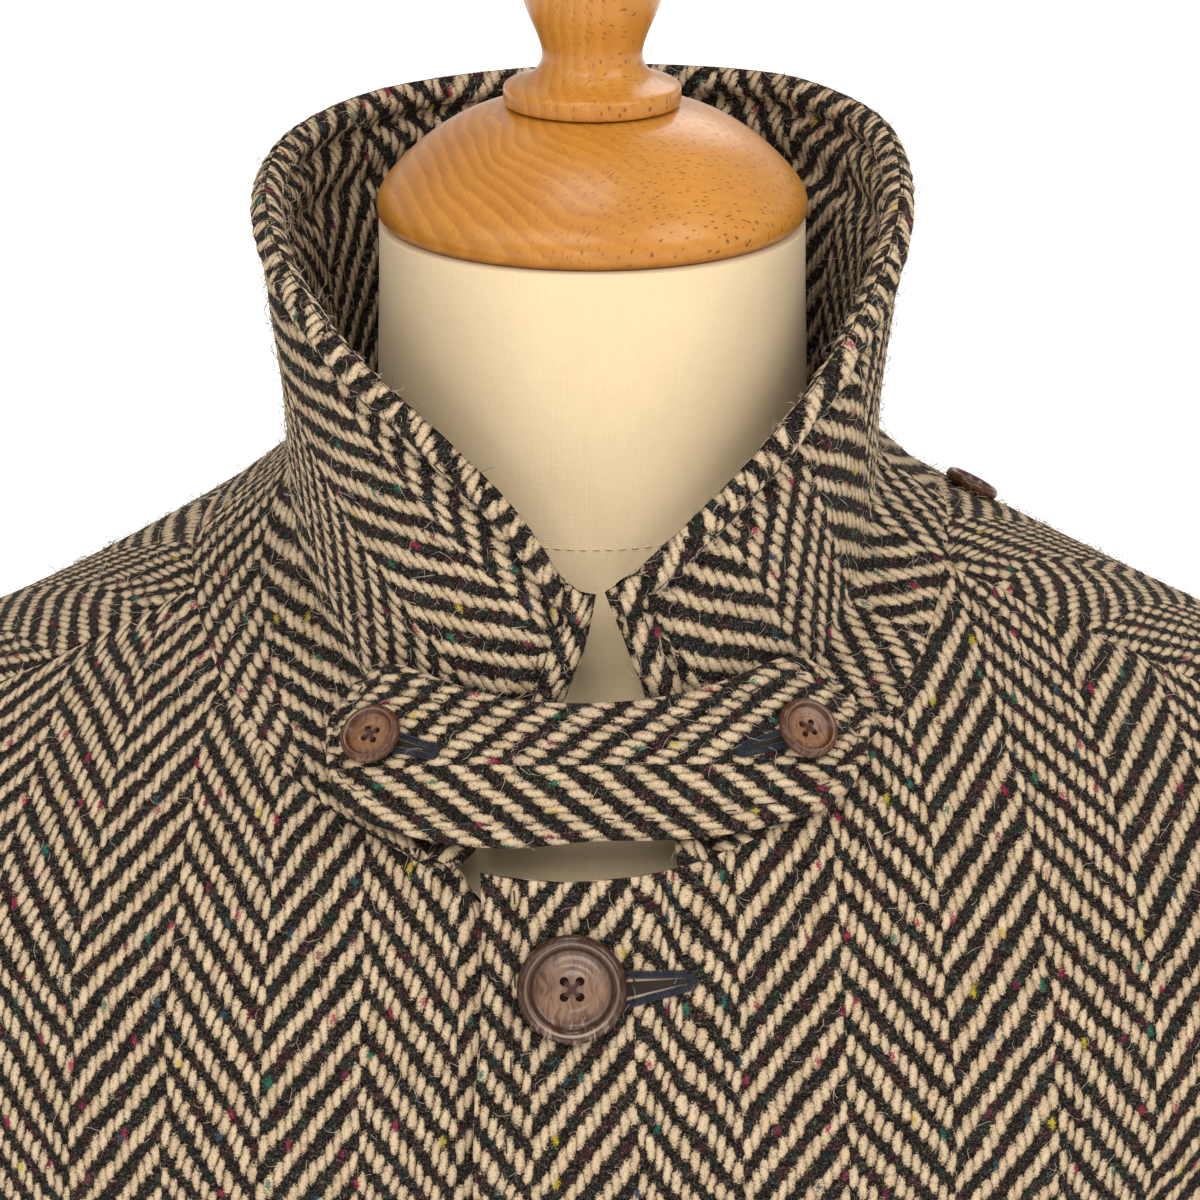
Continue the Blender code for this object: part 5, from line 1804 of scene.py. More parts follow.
@dataclass
class Form:
    """The form's body under its calico cover."""

    seat: float = 0.0047
    stitch_turn: float = 3.0     # degrees from stitch to stitch round the neck
    columns: int = 144
    finer: int = 5
    cover_width: float = 0.36    # metres of calico round the form, where its weave is drawn
    neck_rings: tuple[Ring, ...] = (
        Ring("neck top",    0, 0.0555, 0.0565, 0.0555, 1.5335, 1.5335, 1.5335, 1.5335),
        Ring("neck",        0, 0.0560, 0.0590, 0.0565, 1.500, 1.505, 1.505, 1.508),
        Ring("neck seam",   0, 0.0580, 0.0625, 0.0590, 1.463, 1.474, 1.474, 1.486),
        Ring("neck flare",  0, 0.0700, 0.0760, 0.0680, 1.424, 1.453, 1.455, 1.462),
    )
    shoulders: tuple[tuple[float, float, float], ...] = (    # coat's row, front and back depth
        (0.45, 0.100, 0.084), (0.7, 0.107, 0.091), (1.0, 0.113, 0.098),
        (1.4, 0.117, 0.103), (1.8, 0.119, 0.105),
    )
    body_rings: tuple[Ring, ...] = (
        Ring("arm plate top",  0, 0.2000, 0.121, 0.107, 1.300, 1.381, 1.381, 1.362),
        Ring("arm plate",      0, 0.1960, 0.124, 0.109, 1.275, 1.335, 1.335, 1.320),
        Ring("chest",          0, 0.1830, 0.126, 0.108, 1.235, 1.245, 1.245, 1.245),
        Ring("ribs",           0, 0.1680, 0.118, 0.100, 1.165, 1.165, 1.165, 1.165),
        Ring("waist",          0, 0.1530, 0.108, 0.090, 1.070, 1.070, 1.070, 1.070),
        Ring("belly",          0, 0.1660, 0.115, 0.104, 0.980, 0.980, 0.980, 0.980),
        Ring("hip",            0, 0.1780, 0.120, 0.115, 0.890, 0.890, 0.890, 0.890),
        Ring("foot",           0, 0.1740, 0.117, 0.114, 0.800, 0.800, 0.800, 0.800),
    )

    def rings(self) -> list[tuple]:
        """The sizes of all the form's rings from its neck down."""
        coat = np.array([ring[1:] for ring in COAT_RINGS])
        lowered = []
        for row, front, back in self.shoulders:
            centre, half, _, _, *heights = along(coat, np.array(row))
            lowered.append((centre, half, front, back, *(value - self.seat for value in heights)))
        return [*(ring[1:] for ring in self.neck_rings), *lowered,
                *(ring[1:] for ring in self.body_rings)]

    def build(self, material: Material) -> None:
        """Makes the closed body with a map named weave."""
        sizes = np.array(self.rings())
        place = np.linspace(0, len(sizes) - 1, (len(sizes) - 1) * self.finer + 1)
        straight = between(sizes, place)
        curved = along(sizes, place)
        is_neck = place < len(self.neck_rings)
        tables = np.where(is_neck[:, None], curved, straight * 0.5 + curved * 0.5)
        angles = np.linspace(0, 360, self.columns, endpoint=False)
        lines = [ring_point(angles, *table) for table in tables]
        drop = np.cumsum([0.0] + [np.linalg.norm(b - a, axis=-1).mean()
                                  for a, b in zip(lines, lines[1:])])
        girth = np.linspace(0, self.cover_width, self.columns + 1)
        index = np.arange(len(lines) * self.columns).reshape(-1, self.columns)
        walls = squares(np.concatenate([index, index[:, :1]], axis=1))
        corners = np.concatenate([walls.ravel(), index[0], index[-1][::-1]])
        sizes = np.concatenate([np.full(walls[..., 0].size, 4), [self.columns, self.columns]])
        piece = from_arrays("form_cover", np.concatenate(lines), corners, sizes)
        across, down = np.meshgrid(girth, -drop)
        places = np.zeros((len(corners), 2))
        places[:walls.size] = squares(np.stack([across, down], axis=-1)).reshape(-1, 2)
        layer = piece.data.uv_layers.new(name="weave")
        layer.uv.foreach_set("vector", places.astype(np.float32).ravel())
        shade(piece, 60)
        finish_hard(piece, material, ["form_torso"])
        self._sew_neck()

    def _sew_neck(self) -> None:
        """The topstitching round the cover's neck seam."""
        size = np.array(self.neck_rings[2][1:])
        start = np.arange(0, 360, self.stitch_turn)
        paths = []
        for first in start:
            turns = first + self.stitch_turn * 0.66 * np.array([0.0, 0.2, 0.5, 0.8, 1.0])
            line = ring_point(turns, *size)
            out = unit(line * (1, 1, 0))
            rise = np.array([-0.0004, 0.0002, 0.0003, 0.0002, -0.0004])
            paths.append(line + out * rise[:, None])
        cream = COVER_THREAD.make()
        piece = threads("form_cover_thread", paths, 0.00020, 5)
        finish_hard(piece, cream)


@dataclass
class Button:
    """A four-hole horn button where its solid is."""

    name: str
    radius: float
    thickness: float
    hole: float                  # radius of a hole
    hole_circle: float           # distance of the holes from the middle
    horn: Horn
    sides: int = 72
    drill_sides: int = 20
    turned: tuple = (            # shares of the radius and of the thickness
        (0.70, 0.00), (0.82, 0.05), (0.92, 0.14), (0.98, 0.34), (1.00, 0.55), (0.99, 0.72),
        (0.95, 0.86), (0.90, 0.97), (0.85, 1.00), (0.80, 0.96), (0.76, 0.86), (0.725, 0.72),
        (0.69, 0.62), (0.62, 0.585), (0.50, 0.575), (0.42, 0.58), (0.40, 0.565), (0.38, 0.54),
        (0.34, 0.525), (0.20, 0.515),
    )

    def placing(self) -> Matrix:
        """The place and turn of the button's solid: its Z axis points off the cloth."""
        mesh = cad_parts[self.name].data
        points = np.empty(len(mesh.vertices) * 3)
        mesh.vertices.foreach_get("co", points)
        points = np.unique(points.reshape(-1, 3).round(7), axis=0)
        middle = (points.max(0) + points.min(0)) / 2
        axis = np.linalg.svd(points - points.mean(0))[2][2]
        if axis @ (middle - np.array([0, 0, middle[2] - 0.05])) < 0:
            axis = -axis
        low = ((points - points.mean(0)) @ axis).min()
        centre = points.mean(0) + axis * low
        turn = Vector(axis).to_track_quat("Z", "Y").to_matrix().to_4x4()
        return Matrix.Translation(Vector(centre)) @ turn

    def build(self, thread: Material) -> None:
        """Turns the button, drills it, sews it on and polishes it."""
        outline = [(share * self.radius, high * self.thickness) for share, high in self.turned]
        piece = lathe(f"{self.name}_horn", outline, self.sides)
        drill = self._drill()
        apply_modifier(piece, "BOOLEAN", operation="DIFFERENCE", object=drill, solver="EXACT")
        bpy.data.objects.remove(drill, do_unlink=True)
        place = self.placing()
        piece.data.transform(place)
        shade(piece, 35)
        finish = HornFinish(f"{self.name} horn", self.horn, tuple(place.translation), self.radius)
        finish_hard(piece, finish.make(), [self.name])
        self._sew(place, thread)

    def _drill(self) -> Piece:
        """Four cylinders where the holes go, as one piece."""
        drills = []
        for corner in range(4):
            angle = np.pi / 4 + corner * np.pi / 2
            start_fresh()
            bpy.ops.mesh.primitive_cylinder_add(
                vertices=self.drill_sides, radius=self.hole, depth=self.thickness * 3,
                location=(self.hole_circle * np.cos(angle), self.hole_circle * np.sin(angle), 0))
            drills.append(bpy.context.object)
        start_fresh()
        for drill in drills:
            drill.select_set(True)
        bpy.context.view_layer.objects.active = drills[0]
        bpy.ops.object.join()
        bpy.ops.object.transform_apply(location=True, rotation=True, scale=True)
        return bpy.context.object

    def _sew(self, place: Matrix, thread: Material) -> None:
        """The thread through the holes, crossed in the middle, and the wound shank below."""
        deep, high = -0.2 * self.thickness, 0.62 * self.thickness
        reach = self.hole_circle
        paths = []
        for turn, lift in ((np.pi / 4, 0.0), (3 * np.pi / 4, 0.0004)):
            for shift in (-0.24, 0.24):
                along_line = np.array([np.cos(turn), np.sin(turn), 0])
                beside = np.array([-np.sin(turn), np.cos(turn), 0]) * self.hole * shift
                spots = [(-0.80, deep), (-0.78, high * 0.8), (-0.60, high + lift * 0.6),
                         (0.0, high + 0.0004 + lift), (0.60, high + lift * 0.6),
                         (0.78, high * 0.8), (0.80, deep)]
                path = np.array([along_line * reach * far + beside + (0, 0, level)
                                 for far, level in spots])
                paths.append(along(path, np.linspace(0, 6, 19)))
        tubes = threads(f"{self.name}_thread", paths, self.hole * 0.21, 6)
        levels = np.array([-0.00035, -0.00030, 0.00010, 0.00015])
        axis = levels[:, None] * (0, 0, 1)
        shank = threads(f"{self.name}_shank", [axis], (reach + self.hole) * 1.9, 16)
        for piece in (tubes, shank):
            piece.data.transform(place)
            finish_hard(piece, thread)


def threads(name: str, paths: Sequence[Array], radius: float, sides: int) -> Piece:
    """Closed tubes of thread along paths, as one piece.

    Args:
        name: the piece's name.
        paths: points along each thread.
        radius: half a thread's thickness in metres.
        sides: how many sides a tube has.

    Returns:
        The piece.
    """
    points, quads, caps = [], [], []
    base = 0
    angle = np.linspace(0, 2 * np.pi, sides, endpoint=False)
    for path in paths:
        path = np.asarray(path, float)
        ahead = unit(np.gradient(path, axis=0))
        helper = np.array([0.31, 0.83, 0.46])
        beside = unit(np.cross(ahead, helper))
        above = np.cross(ahead, beside)
        thick = np.full(len(path), radius)
        thick[[0, -1]] *= 0.55
        ring = (np.cos(angle)[None, :, None] * beside[:, None]
                + np.sin(angle)[None, :, None] * above[:, None]) * thick[:, None, None]
        points.append((path[:, None] + ring).reshape(-1, 3))
        index = base + np.arange(len(path) * sides).reshape(len(path), sides)
        after = np.roll(index, -1, axis=1)
        quads.append(np.stack([index[:-1], after[:-1], after[1:], index[1:]], -1).reshape(-1, 4))
        caps += [index[0][::-1], index[-1]]
        base += len(path) * sides
    faces = [*map(tuple, np.concatenate(quads)), *map(tuple, caps)]
    piece = from_faces(name, np.concatenate(points), faces)
    piece.data.shade_smooth()
    return piece


def line_inside(grid: Array, side: Side, inset: float) -> tuple[Array, Array]:
    """Where the line runs that stays at a distance inside one side of a grid.

    Args:
        grid: rows x columns x 3.
        side: the side.
        inset: the distance in metres.

    Returns:
        The line's rows and columns, as fractional places on the grid.
    """
    is_row = side in (Side.TOP, Side.FOOT)
    is_last = side in (Side.FOOT, Side.LAST)
    turned = grid if is_row else grid.swapaxes(0, 1)
    turned = turned[::-1] if is_last else turned
    distance = lengths_along(turned, 0)
    low = np.clip((distance < inset).sum(0) - 1, 0, len(turned) - 2)
    each = np.arange(turned.shape[1])
    step = np.maximum(distance[low + 1, each] - distance[low, each], 1e-9)
    level = low + np.clip((inset - distance[low, each]) / step, 0, 1)
    level = len(turned) - 1 - level if is_last else level
    return (level, each) if is_row else (each, level)


def read_grid(grid: Array, rows: Array, columns: Array) -> Array:
    """Readings of a grid at fractional rows and columns."""
    row = np.clip(np.asarray(rows).astype(int), 0, grid.shape[0] - 2)
    column = np.clip(np.asarray(columns).astype(int), 0, grid.shape[1] - 2)
    down, across = (rows - row)[:, None], (columns - column)[:, None]
    upper = grid[row, column] * (1 - across) + grid[row, column + 1] * across
    lower = grid[row + 1, column] * (1 - across) + grid[row + 1, column + 1] * across
    return upper * (1 - down) + lower * down


class Hole(NamedTuple):
    """A buttonhole on a piece's surface, from its end at the button to its other end."""

    start: tuple[float, float, float]
    stop: tuple[float, float, float]
    gape: tuple[float, float]    # half the slit's opening at the two ends
    reach: float = 0.0017        # how far the stitches go into the cloth


@dataclass
class Sewing:
    """The threads sewn into one piece, on its finished surface."""

    name: str
    outer: Array                 # the finished surface and its normals, as grids
    normal: Array
    thread: float = 0.00022          # metres, half a thread's thickness
    hole_stitch: float = 0.00044     # metres from stitch to stitch round a buttonhole
    paths: list[Array] = field(default_factory=list)

    def run(self, side: Side, inset: float, ends: tuple[float, float] = (0.0, 0.0),
            stitch: float = 0.0044, gap: float = 0.0026, lift: float = 0.0) -> None:
        """Sews a line of topstitching inside one side.

        Args:
            side: the side that the line follows.
            inset: the line's distance from it.
            ends: how far from the side's two ends the line starts and stops.
            stitch: a stitch's length.
            gap: the space from stitch to stitch.
            lift: how far the thread lies above the groove.
        """
        rows, columns = line_inside(self.outer, side, inset)
        line = read_grid(self.outer, rows, columns)
        out = read_grid(self.normal, rows, columns)
        far = lengths_along(line[:, None], 0)[:, 0]
        for start in np.arange(ends[0] + gap, far[-1] - ends[1] - stitch, stitch + gap):
            at = start + stitch * np.array([0.0, 0.15, 0.5, 0.85, 1.0])
            spot = np.stack([np.interp(at, far, line[:, axis]) for axis in range(3)], -1)
            up = np.stack([np.interp(at, far, out[:, axis]) for axis in range(3)], -1)
            rise = np.array([-0.0007, 0.0002, 0.0003, 0.0002, -0.0007]) + lift
            self.paths.append(spot + up * rise[:, None])

    def on_surface(self, spots: Array) -> tuple[Array, Array]:
        """Moves points straight onto the surface, and reads its normals there."""
        flat_grid, flat_normal = self.outer.reshape(-1, 3), self.normal.reshape(-1, 3)
        nearest = np.array([np.argmin(((flat_grid - spot) ** 2).sum(-1)) for spot in spots])
        out = unit(flat_normal[nearest])
        off = ((flat_grid[nearest] - spots) * out).sum(-1, keepdims=True)
        return spots + out * off, out

    def buttonhole(self, hole: Hole) -> Array:
        """Works a buttonhole, close stitches round a slit, and gives the slit's outline."""
        first, last = np.array(hole.start), np.array(hole.stop)
        length = np.linalg.norm(last - first)
        count = max(int(length / self.hole_stitch), 8)
        share = np.linspace(0, 1, count)
        middle = first + (last - first) * share[:, None]
        middle, out = self.on_surface(middle)
        ahead = unit(np.gradient(middle, axis=0))
        beside = unit(np.cross(out, ahead))
        half = (hole.gape[0] + (hole.gape[1] - hole.gape[0]) * share ** 0.8)[:, None]
        spots, away = [], []
        for side in (1, -1):
            spots.append(middle + beside * half * side)
            away.append(beside * side)
        turns = np.linspace(0.2, np.pi - 0.2, 11)[:, None]
        spots.append(middle[-1] + (beside[-1] * np.cos(turns) + ahead[-1] * np.sin(turns))
                     * half[-1])
        away.append(beside[-1] * np.cos(turns) + ahead[-1] * np.sin(turns))
        lips, away = np.concatenate(spots), np.concatenate(away)
        for lip, direction in zip(lips, away):
            path = lip + direction * hole.reach * np.array([-0.10, 0.0, 0.5, 1.0, 1.08])[:, None]
            path, up = self.on_surface(path)
            rise = np.array([-0.0002, 0.0007, 0.0010, 0.0006, -0.0004])[:, None]
            self.paths.append(path + up * rise)
        outline = np.concatenate([spots[0], spots[2], spots[1][::-1]])
        outline, up = self.on_surface(outline)
        return outline + up * 0.00012

    def build(self, material: Material) -> None:
        """Makes all the threads as one piece."""
        piece = threads(f"{self.name}_thread", self.paths, self.thread, 5)
        finish_hard(piece, material)


def narrowed(outline: Array, share: float) -> Array:
    """A slit's outline drawn in towards its middle line and lifted a little."""
    middle = (outline + outline[::-1]) / 2
    up = np.cross(outline[1] - outline[-2], outline[len(outline) // 3] - outline[0])
    up = unit(up if up[1] < 0 else -up)
    return middle + (outline - middle) * share + up * 0.0002


def slits(name: str, outlines: Sequence[Array], material: Material) -> None:
    """Thin closed leaves in buttonholes' openings: pale lips and dark leaves of painted shade.

    Args:
        name: the piece's name.
        outlines: the points round each opening.
        material: the leaves' colour.
    """
    points, faces = [], []
    base = 0
    for outline in outlines:
        count = len(outline)
        out = unit(np.cross(outline[count // 3] - outline[0], outline[-3] - outline[0]))
        out = out if out[1] < 0 else -out
        points += [outline, outline - out * 0.0004]
        half = count // 2
        strip = [(base + k, base + k + 1, base + count - 2 - k, base + count - 1 - k)
                 for k in range(half - 1)]
        if count % 2:
            strip.append((base + half - 1, base + half, base + half + 1))
        faces += strip
        faces += [tuple(corner + count for corner in face[::-1]) for face in strip]
        faces += [(base + k, base + k + count, base + (k + 1) % count + count,
                   base + (k + 1) % count) for k in range(count)]
        base += 2 * count
    finish_hard(from_faces(name, np.concatenate(points), faces), material)


@dataclass(frozen=True)
class Nap:
    """Short curled hairs that stand off the cloth, each a bent needle of 16 triangles."""

    name: str
    count: int
    seed: int
    length: tuple[float, float] = (0.0026, 0.0090)
    radius: float = 0.000075
    heights: tuple[float, ...] = (1.10, 1.33, 1.42)    # where the hairs grow closer together
    shares: tuple[float, ...] = (0.01, 0.10, 0.26)     # how close below each of the heights
    facing: float = 0.05          # how far a face has to point away from the neck's axis
    collar_height: float = 1.47   # above it, both sides of the collar count
    sleeve_x: float = 0.23        # beyond it, all sides of the sleeves count

    def roots(self, pieces: Sequence[Piece],
              chance: np.random.Generator) -> tuple[Array, Array]:
        """Where the hairs grow and the cloth's normals there."""
        spots, normals, weights = [], [], []
        for piece in pieces:
            faces = piece.data.polygons
            centre, normal, area = (np.empty(len(faces) * size) for size in (3, 3, 1))
            faces.foreach_get("center", centre)
            faces.foreach_get("normal", normal)
            faces.foreach_get("area", area)
            centre, normal = centre.reshape(-1, 3), normal.reshape(-1, 3)
            is_out = (normal * unit(centre * (1, 1, 0))).sum(-1) > self.facing
            is_out |= piece.name.startswith("collar") & (centre[:, 2] > self.collar_height)
            is_out |= np.abs(centre[:, 0]) > self.sleeve_x
            closeness = np.select([centre[:, 2] < height for height in self.heights],
                                  self.shares, 1.0)
            spots.append(centre)
            normals.append(normal)
            weights.append(area * is_out * closeness)
        weight = np.concatenate(weights)
        chosen = chance.choice(len(weight), self.count, p=weight / weight.sum())
        return np.concatenate(spots)[chosen], np.concatenate(normals)[chosen]

    def needles(self, root: Array, normal: Array, chance: np.random.Generator) -> Array:
        """Points of every hair: three rings of three round its bends, and its tip.

        Args:
            root: where the hairs grow.
            normal: the cloth's normals there.
            chance: the random draws.

        Returns:
            hairs x 10 x 3.
        """
        many = self.count
        swing = unit(np.cross(normal, chance.normal(size=(many, 3))))
        beside = np.cross(normal, swing)
        curl = chance.uniform(-1, 1, (many, 1))
        stand = chance.uniform(0.30, 1.2, (many, 1))
        low, high = self.length
        length = low + (high - low) * chance.random((many, 1)) ** 2.2
        spots = [root + swing * chance.normal(0, 0.0004, (many, 1)) - normal * 0.0003]
        steps = ((0.36, 0.85 * stand, 0.7, 0.3), (0.34, 0.35 * stand, 0.65, 1.1),
                 (0.30, -0.15 * stand, 0.1, 1.6))
        for part, rise, forward, turn in steps:
            way = unit(normal * rise + swing * forward + beside * curl * turn)
            spots.append(spots[-1] + way * length * part)
        angle = np.arange(3) * 2 * np.pi / 3
        rings = []
        for place, width in ((0, 1.0), (1, 1.0), (2, 0.75)):
            ahead = unit(spots[place + 1] - spots[place])
            side = unit(np.cross(ahead, normal + 0.3 * beside))
            above = np.cross(ahead, side)
            ring = np.cos(angle)[:, None, None] * side + np.sin(angle)[:, None, None] * above
            rings.append(spots[place] + ring * self.radius * width)
        return np.stack([*np.concatenate(rings), spots[3]], axis=1)

    def build(self, pieces: Sequence[Piece], material: Material) -> None:
        """Grows the hairs on the pieces as one mesh."""
        chance = np.random.default_rng(self.seed)
        root, normal = self.roots(pieces, chance)
        points = self.needles(root, normal, chance)
        many = self.count
        first = [(2, 1, 0)]
        for level in (0, 3):
            first += [(level + k, level + (k + 1) % 3, level + 3 + (k + 1) % 3, level + 3 + k)
                      for k in range(3)]
        first += [(6 + k, 6 + (k + 1) % 3, 9) for k in range(3)]
        corners = np.concatenate([np.array(face) for face in first])
        sizes = np.array([len(face) for face in first])
        corners = (np.arange(many)[:, None] * points.shape[1] + corners).ravel()
        piece = from_arrays(self.name, points.reshape(-1, 3), corners, np.tile(sizes, many))
        finish_hard(piece, material)


class Light(NamedTuple):
    """A soft studio light that faces the collar."""

    name: str
    place: tuple[float, float, float]
    size: tuple[float, float]
    power: float


@dataclass
class Studio:
    """The plain floor, the soft lights and the camera at the photograph's angle."""

    floor: float = 160.0
    floor_drop: float = 0.0006
    floor_colour: Colour = (0.97, 0.97, 0.97)
    floor_glow: float = 0.78
    sky: float = 0.60
    target: tuple[float, float, float] = (0.0, 0.0, 1.45)
    lights: tuple[Light, ...] = (
        Light("key", (-0.6, -2.2, 3.3), (1.6, 1.2), 28.0),
        Light("right", (1.8, -1.4, 3.1), (1.4, 1.6), 33.0),
        Light("left", (-1.9, -1.4, 2.8), (1.2, 1.6), 14.0),
        Light("overhead", (-0.08, -0.24, 3.1), (0.60, 0.45), 6.0),
        Light("behind", (0.5, 2.4, 3.0), (1.6, 1.2), 18.0),
        Light("front", (-0.15, -2.9, 1.35), (0.55, 0.40), 8.0),
    )
    lens: float = 172.8
    eye: tuple[float, float, float] = (0.002, -1.458, 1.903)
    pitch: float = 72.0
    sensor: float = 36.0         # millimetres
    sight: float = 100.0         # metres that the camera sees

    def build(self) -> None:
        """Sets up the floor, the world, the lights and the camera."""
        start_fresh()
        bpy.ops.mesh.primitive_plane_add(size=self.floor, location=(0, 0, -self.floor_drop))
        floor = bpy.context.object
        floor.name = "floor"
        recipe = Recipe("floor paint", 0.9, Specular_IOR_Level=0.1,
                        Emission_Color=(1.0, 1.0, 1.0), Emission_Strength=self.floor_glow)
        cloud = recipe.cloud(recipe.places(), 900.0, 2.0)
        low = tuple(value * 0.985 for value in self.floor_colour)
        floor.data.materials.append(
            recipe.finish(recipe.mix(cloud, low, self.floor_colour)))
        world = bpy.data.worlds.new("studio")
        bpy.context.scene.world = world
        world.use_nodes = True
        world.node_tree.nodes["Background"].inputs["Color"].default_value = (1, 1, 1, 1)
        world.node_tree.nodes["Background"].inputs["Strength"].default_value = self.sky
        for light in self.lights:
            data = bpy.data.lights.new(light.name, "AREA")
            data.shape = "RECTANGLE"
            data.size, data.size_y = light.size
            data.energy = light.power
            lamp = placed(light.name, data)
            aim = Vector(self.target) - Vector(light.place)
            lamp.rotation_euler = aim.to_track_quat("-Z", "Y").to_euler()
            lamp.location = light.place
        data = bpy.data.cameras.new("camera")
        data.lens = self.lens
        data.sensor_width = self.sensor
        data.clip_end = self.sight
        camera = placed("camera", data)
        camera.location = self.eye
        camera.rotation_euler = (np.radians(self.pitch), 0, 0)
        bpy.context.scene.camera = camera
        bpy.context.scene.view_settings.view_transform = "Standard"


FRONT_LEFT_CREASES = (
    Crease((27, 3.1), (60, 4.2), 0.011, -0.0026), Crease((64, 4.7), (84, 6.5), 0.009, 0.0036),
    Crease((32, 6.5), (80, 6.95), 0.012, 0.0048), Crease((28, 7.2), (62, 7.5), 0.010, -0.0033),
    Crease((24, 5.2), (29, 8.4), 0.016, 0.003), Crease((50, 7.9), (57, 9.8), 0.015, -0.0048),
    Crease((38, 0.9), (57, 2.0), 0.011, -0.0016), Crease((22, 1.3), (33, 3.0), 0.012, -0.0014),
)
FRONT_RIGHT_CREASES = (
    Crease((-30, 2.9), (-64, 4.0), 0.012, -0.0024), Crease((-60, 4.9), (-86, 6.2), 0.010, 0.0039),
    Crease((-36, 6.7), (-74, 7.05), 0.011, 0.0042), Crease((-34, 7.4), (-70, 7.6), 0.010, -0.003),
    Crease((-28, 5.6), (-31, 8.9), 0.017, 0.0027), Crease((-54, 8.1), (-63, 9.9), 0.014, -0.0045),
    Crease((-42, 0.7), (-62, 1.7), 0.010, -0.0018), Crease((-26, 1.6), (-38, 3.4), 0.013, -0.0012),
)
BACK_CREASES = (
    Crease((118, 2.7), (164, 3.1), 0.014, -0.0037), Crease((99, 5.9), (150, 6.6), 0.012, 0.0054),
    Crease((128, 7.0), (171, 7.3), 0.011, -0.0044), Crease((108, 4.1), (127, 6.0), 0.014, 0.0044),
    Crease((96, 6.9), (124, 7.2), 0.010, 0.0041), Crease((148, 7.8), (157, 9.7), 0.016, -0.0054),
)
SLEEVE_TOP_CREASES = (
    Crease((104, 5.5), (26, 5.9), 0.009, 0.0054), Crease((108, 6.0), (14, 6.35), 0.010, -0.0044),
    Crease((96, 6.5), (38, 6.95), 0.009, 0.0048), Crease((-64, 4.3), (12, 5.2), 0.012, -0.0034),
    Crease((-82, 6.7), (-22, 7.3), 0.010, 0.0041), Crease((86, 3.3), (44, 4.5), 0.012, 0.0037),
)
SLEEVE_UNDER_CREASES = (
    Crease((128, 5.5), (200, 5.9), 0.009, 0.0034), Crease((140, 6.2), (216, 6.5), 0.010, -0.0024),
    Crease((168, 4.2), (230, 4.9), 0.010, 0.0026), Crease((134, 7.0), (190, 7.3), 0.009, 0.0024),
)


def other_side(creases: Sequence[Crease], mirror: int, shift: tuple[float, float],
               deeper: float) -> tuple[Crease, ...]:
    """The like creases of the other side.

    Args:
        creases: the creases of one side.
        mirror: -1 where their first coordinate changes its sign, or else 1.
        shift: how far they lie further along, in both coordinates.
        deeper: by how much they are deeper and narrower.

    Returns:
        The other side's creases.
    """
    moved = []
    for crease in creases:
        ends = [(mirror * place + shift[0], row + shift[1])
                for place, row in (crease.start, crease.stop)]
        moved.append(Crease(*ends, crease.width / deeper, crease.depth * deeper))
    return tuple(moved)


def body_panels() -> list[BodyPanel]:
    """The four panels of the coat's body."""
    front = {"is_front": True, "across": 13, "upper": 18, "lower": 10, "edges": FRONT_EDGES,
             "rib_height": 0.0004}
    back = {"is_front": False, "across": 6, "upper": 6, "lower": 6, "edges": HEMMED,
            "lay": Lay()}
    along_edge = (120, 0, -1, 0)
    return [
        BodyPanel("front_left", 1, creases=FRONT_LEFT_CREASES,
                  lay=Lay(along_edge, wide=0.930, column_shift=0.0103), **front),
        BodyPanel("front_right", -1, creases=FRONT_RIGHT_CREASES,
                  lay=Lay(along_edge, wide=-1.0, column_shift=-0.0095), **front),
        BodyPanel("back_left", 1, creases=BACK_CREASES, **back),
        BodyPanel("back_right", -1, creases=other_side(BACK_CREASES, -1, (-3.0, 0.14), 0.85),
                  **back),
    ]


def sleeve_pieces() -> list[SleevePiece]:
    """The two pieces of each sleeve."""
    pieces = []
    for side, word, shift, deeper in ((1, "left", 0.0, 1.0), (-1, "right", -0.17, 1.15)):
        top, under = (other_side(creases, 1, (-4.0 * (side < 0), shift), deeper)
                      for creases in (SLEEVE_TOP_CREASES, SLEEVE_UNDER_CREASES))
        pieces.append(SleevePiece(f"sleeve_top_{word}", side, BACK_SLEEVE_SEAM - 360,
                                  FRONT_SLEEVE_SEAM, Lay(upright=(0, 60, -1, 60)), top))
        pieces.append(SleevePiece(f"sleeve_under_{word}", side, FRONT_SLEEVE_SEAM,
                                  BACK_SLEEVE_SEAM, Lay(upright=(0, 20, -1, 20)), under))
    return pieces


FRONT_HOLES = (
    Hole((0.0030, -0.1235, 1.3665), (0.0237, -0.1217, 1.3690), (0.0040, 0.0009)),
    *(Hole((0.0005, -0.1430, height), (0.0245, -0.1425, height), (0.0012, 0.0005))
      for height in (1.2425, 1.1175, 0.9925, 0.8675)),
)
LATCH_HOLES = (
    Hole((-0.0515, -0.0985, 1.4245), (-0.0398, -0.1030, 1.4228), (0.0017, 0.0006), 0.0013),
    Hole((0.0500, -0.0955, 1.4245), (0.0378, -0.1008, 1.4226), (0.0013, 0.0005), 0.0013),
)


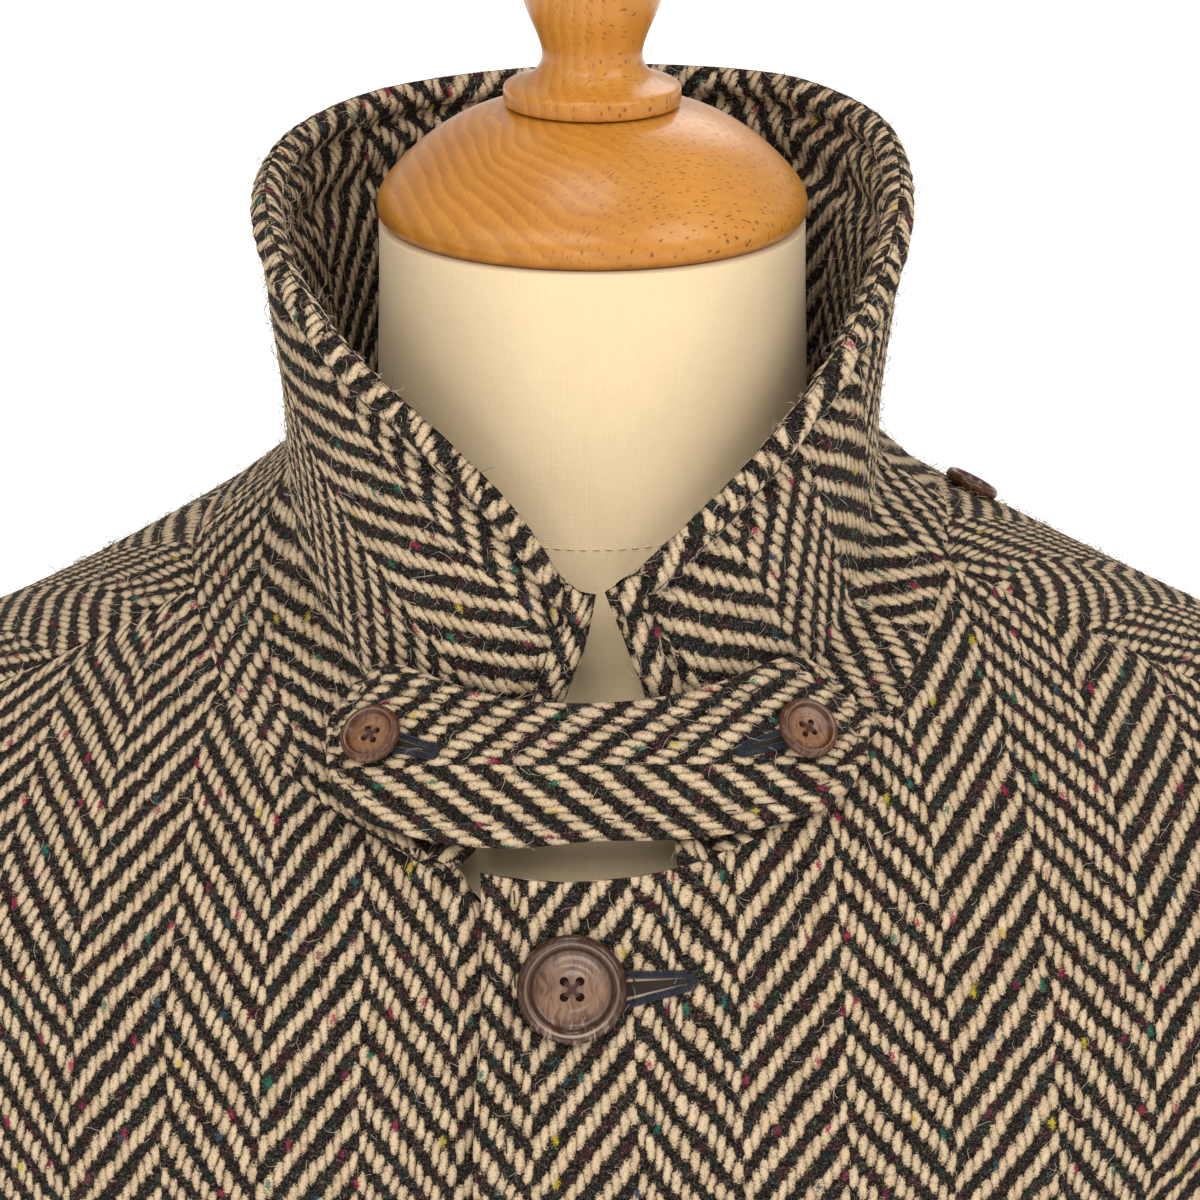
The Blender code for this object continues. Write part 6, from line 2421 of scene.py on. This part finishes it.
def sew(front: BodyPanel, collar: Collar, latch: ThroatLatch) -> None:
    """Topstitches the edges and works the buttonholes.

    Args:
        front: the upper front, sewn along its front edge.
        collar: the collar, sewn on both sides.
        latch: the strap.
    """
    dark, navy, shadow, lip = (finish.make() for finish in
                               (SEAM_THREAD, NAVY_THREAD, SLIT_SHADE, SLIT_LIP))
    ends = (0.008, 0.008)
    front.sewing.run(Side.FIRST, FRONT_EDGES.inset)
    for side in COLLAR_EDGES.stitched:
        collar.sewing.run(side, COLLAR_EDGES.inset, ends)
        collar.inner_sewing.run(side, COLLAR_EDGES.inset, ends)
    for side in (Side.TOP, Side.FOOT):
        latch.sewing.run(side, LATCH_EDGES.inset, ends, stitch=0.0034, gap=0.0018)
    for work in (front.sewing, collar.sewing, collar.inner_sewing, latch.sewing):
        work.build(dark)
    outlines = []
    for name, under, thread, holes in (
            ("front_buttonholes", front.sewing, 0.00021, FRONT_HOLES),
            ("latch_buttonholes", latch.sewing, 0.00020, LATCH_HOLES)):
        work = Sewing(name, under.outer, under.normal, thread)
        outlines += [work.buttonhole(hole) for hole in holes]
        work.build(navy)
    slits("buttonhole_lips", outlines, lip)
    # dark leaves of painted shade inside the lips
    slits("buttonhole_slit_shade", [narrowed(outline, 0.66) for outline in outlines], shadow)


def buttons() -> list[Button]:
    """The five front buttons, the latch's two and the one on the shoulder."""
    front = {"radius": 0.0138, "thickness": 0.0048, "hole": 0.00115, "hole_circle": 0.0028,
             "horn": BROWN_HORN}
    small = {"thickness": 0.0034, "hole": 0.00085, "hole_circle": 0.0019, "horn": AMBER_HORN}
    return [*(Button(f"front_button_{count}", **front) for count in range(1, 6)),
            Button("latch_button_right", radius=0.0080, **small),
            Button("latch_button_left", radius=0.0080, **small),
            Button("shoulder_button", radius=0.0076, **small)]


def main() -> None:
    """Builds and dresses the coat and its form."""
    logging.basicConfig(level=logging.INFO, format="%(name)s: %(message)s")
    Studio().build()
    tweed = TweedFinish().make()
    cloth = []
    panels = body_panels()
    for panel in panels:
        cloth.append(panel.build(tweed))
    for piece in sleeve_pieces():
        cloth.append(piece.build(tweed))
    collar = Collar()
    cloth.append(collar.build(tweed))
    latch = ThroatLatch(collar)
    cloth.append(latch.build(tweed))
    sew(panels[0], collar, latch)
    pale, dark = PALE_HAIR.make(), DARK_HAIR.make()
    Nap("nap_pale", count=12000, seed=11).build(cloth, pale)
    Nap("nap_dark", count=3200, seed=12).build(cloth, dark)
    Form().build(CalicoFinish().make())
    Stand().build(BeechFinish().make())
    thread = BUTTON_THREAD.make()
    for button in buttons():
        button.build(thread)


if __name__ == "__main__":
    main()
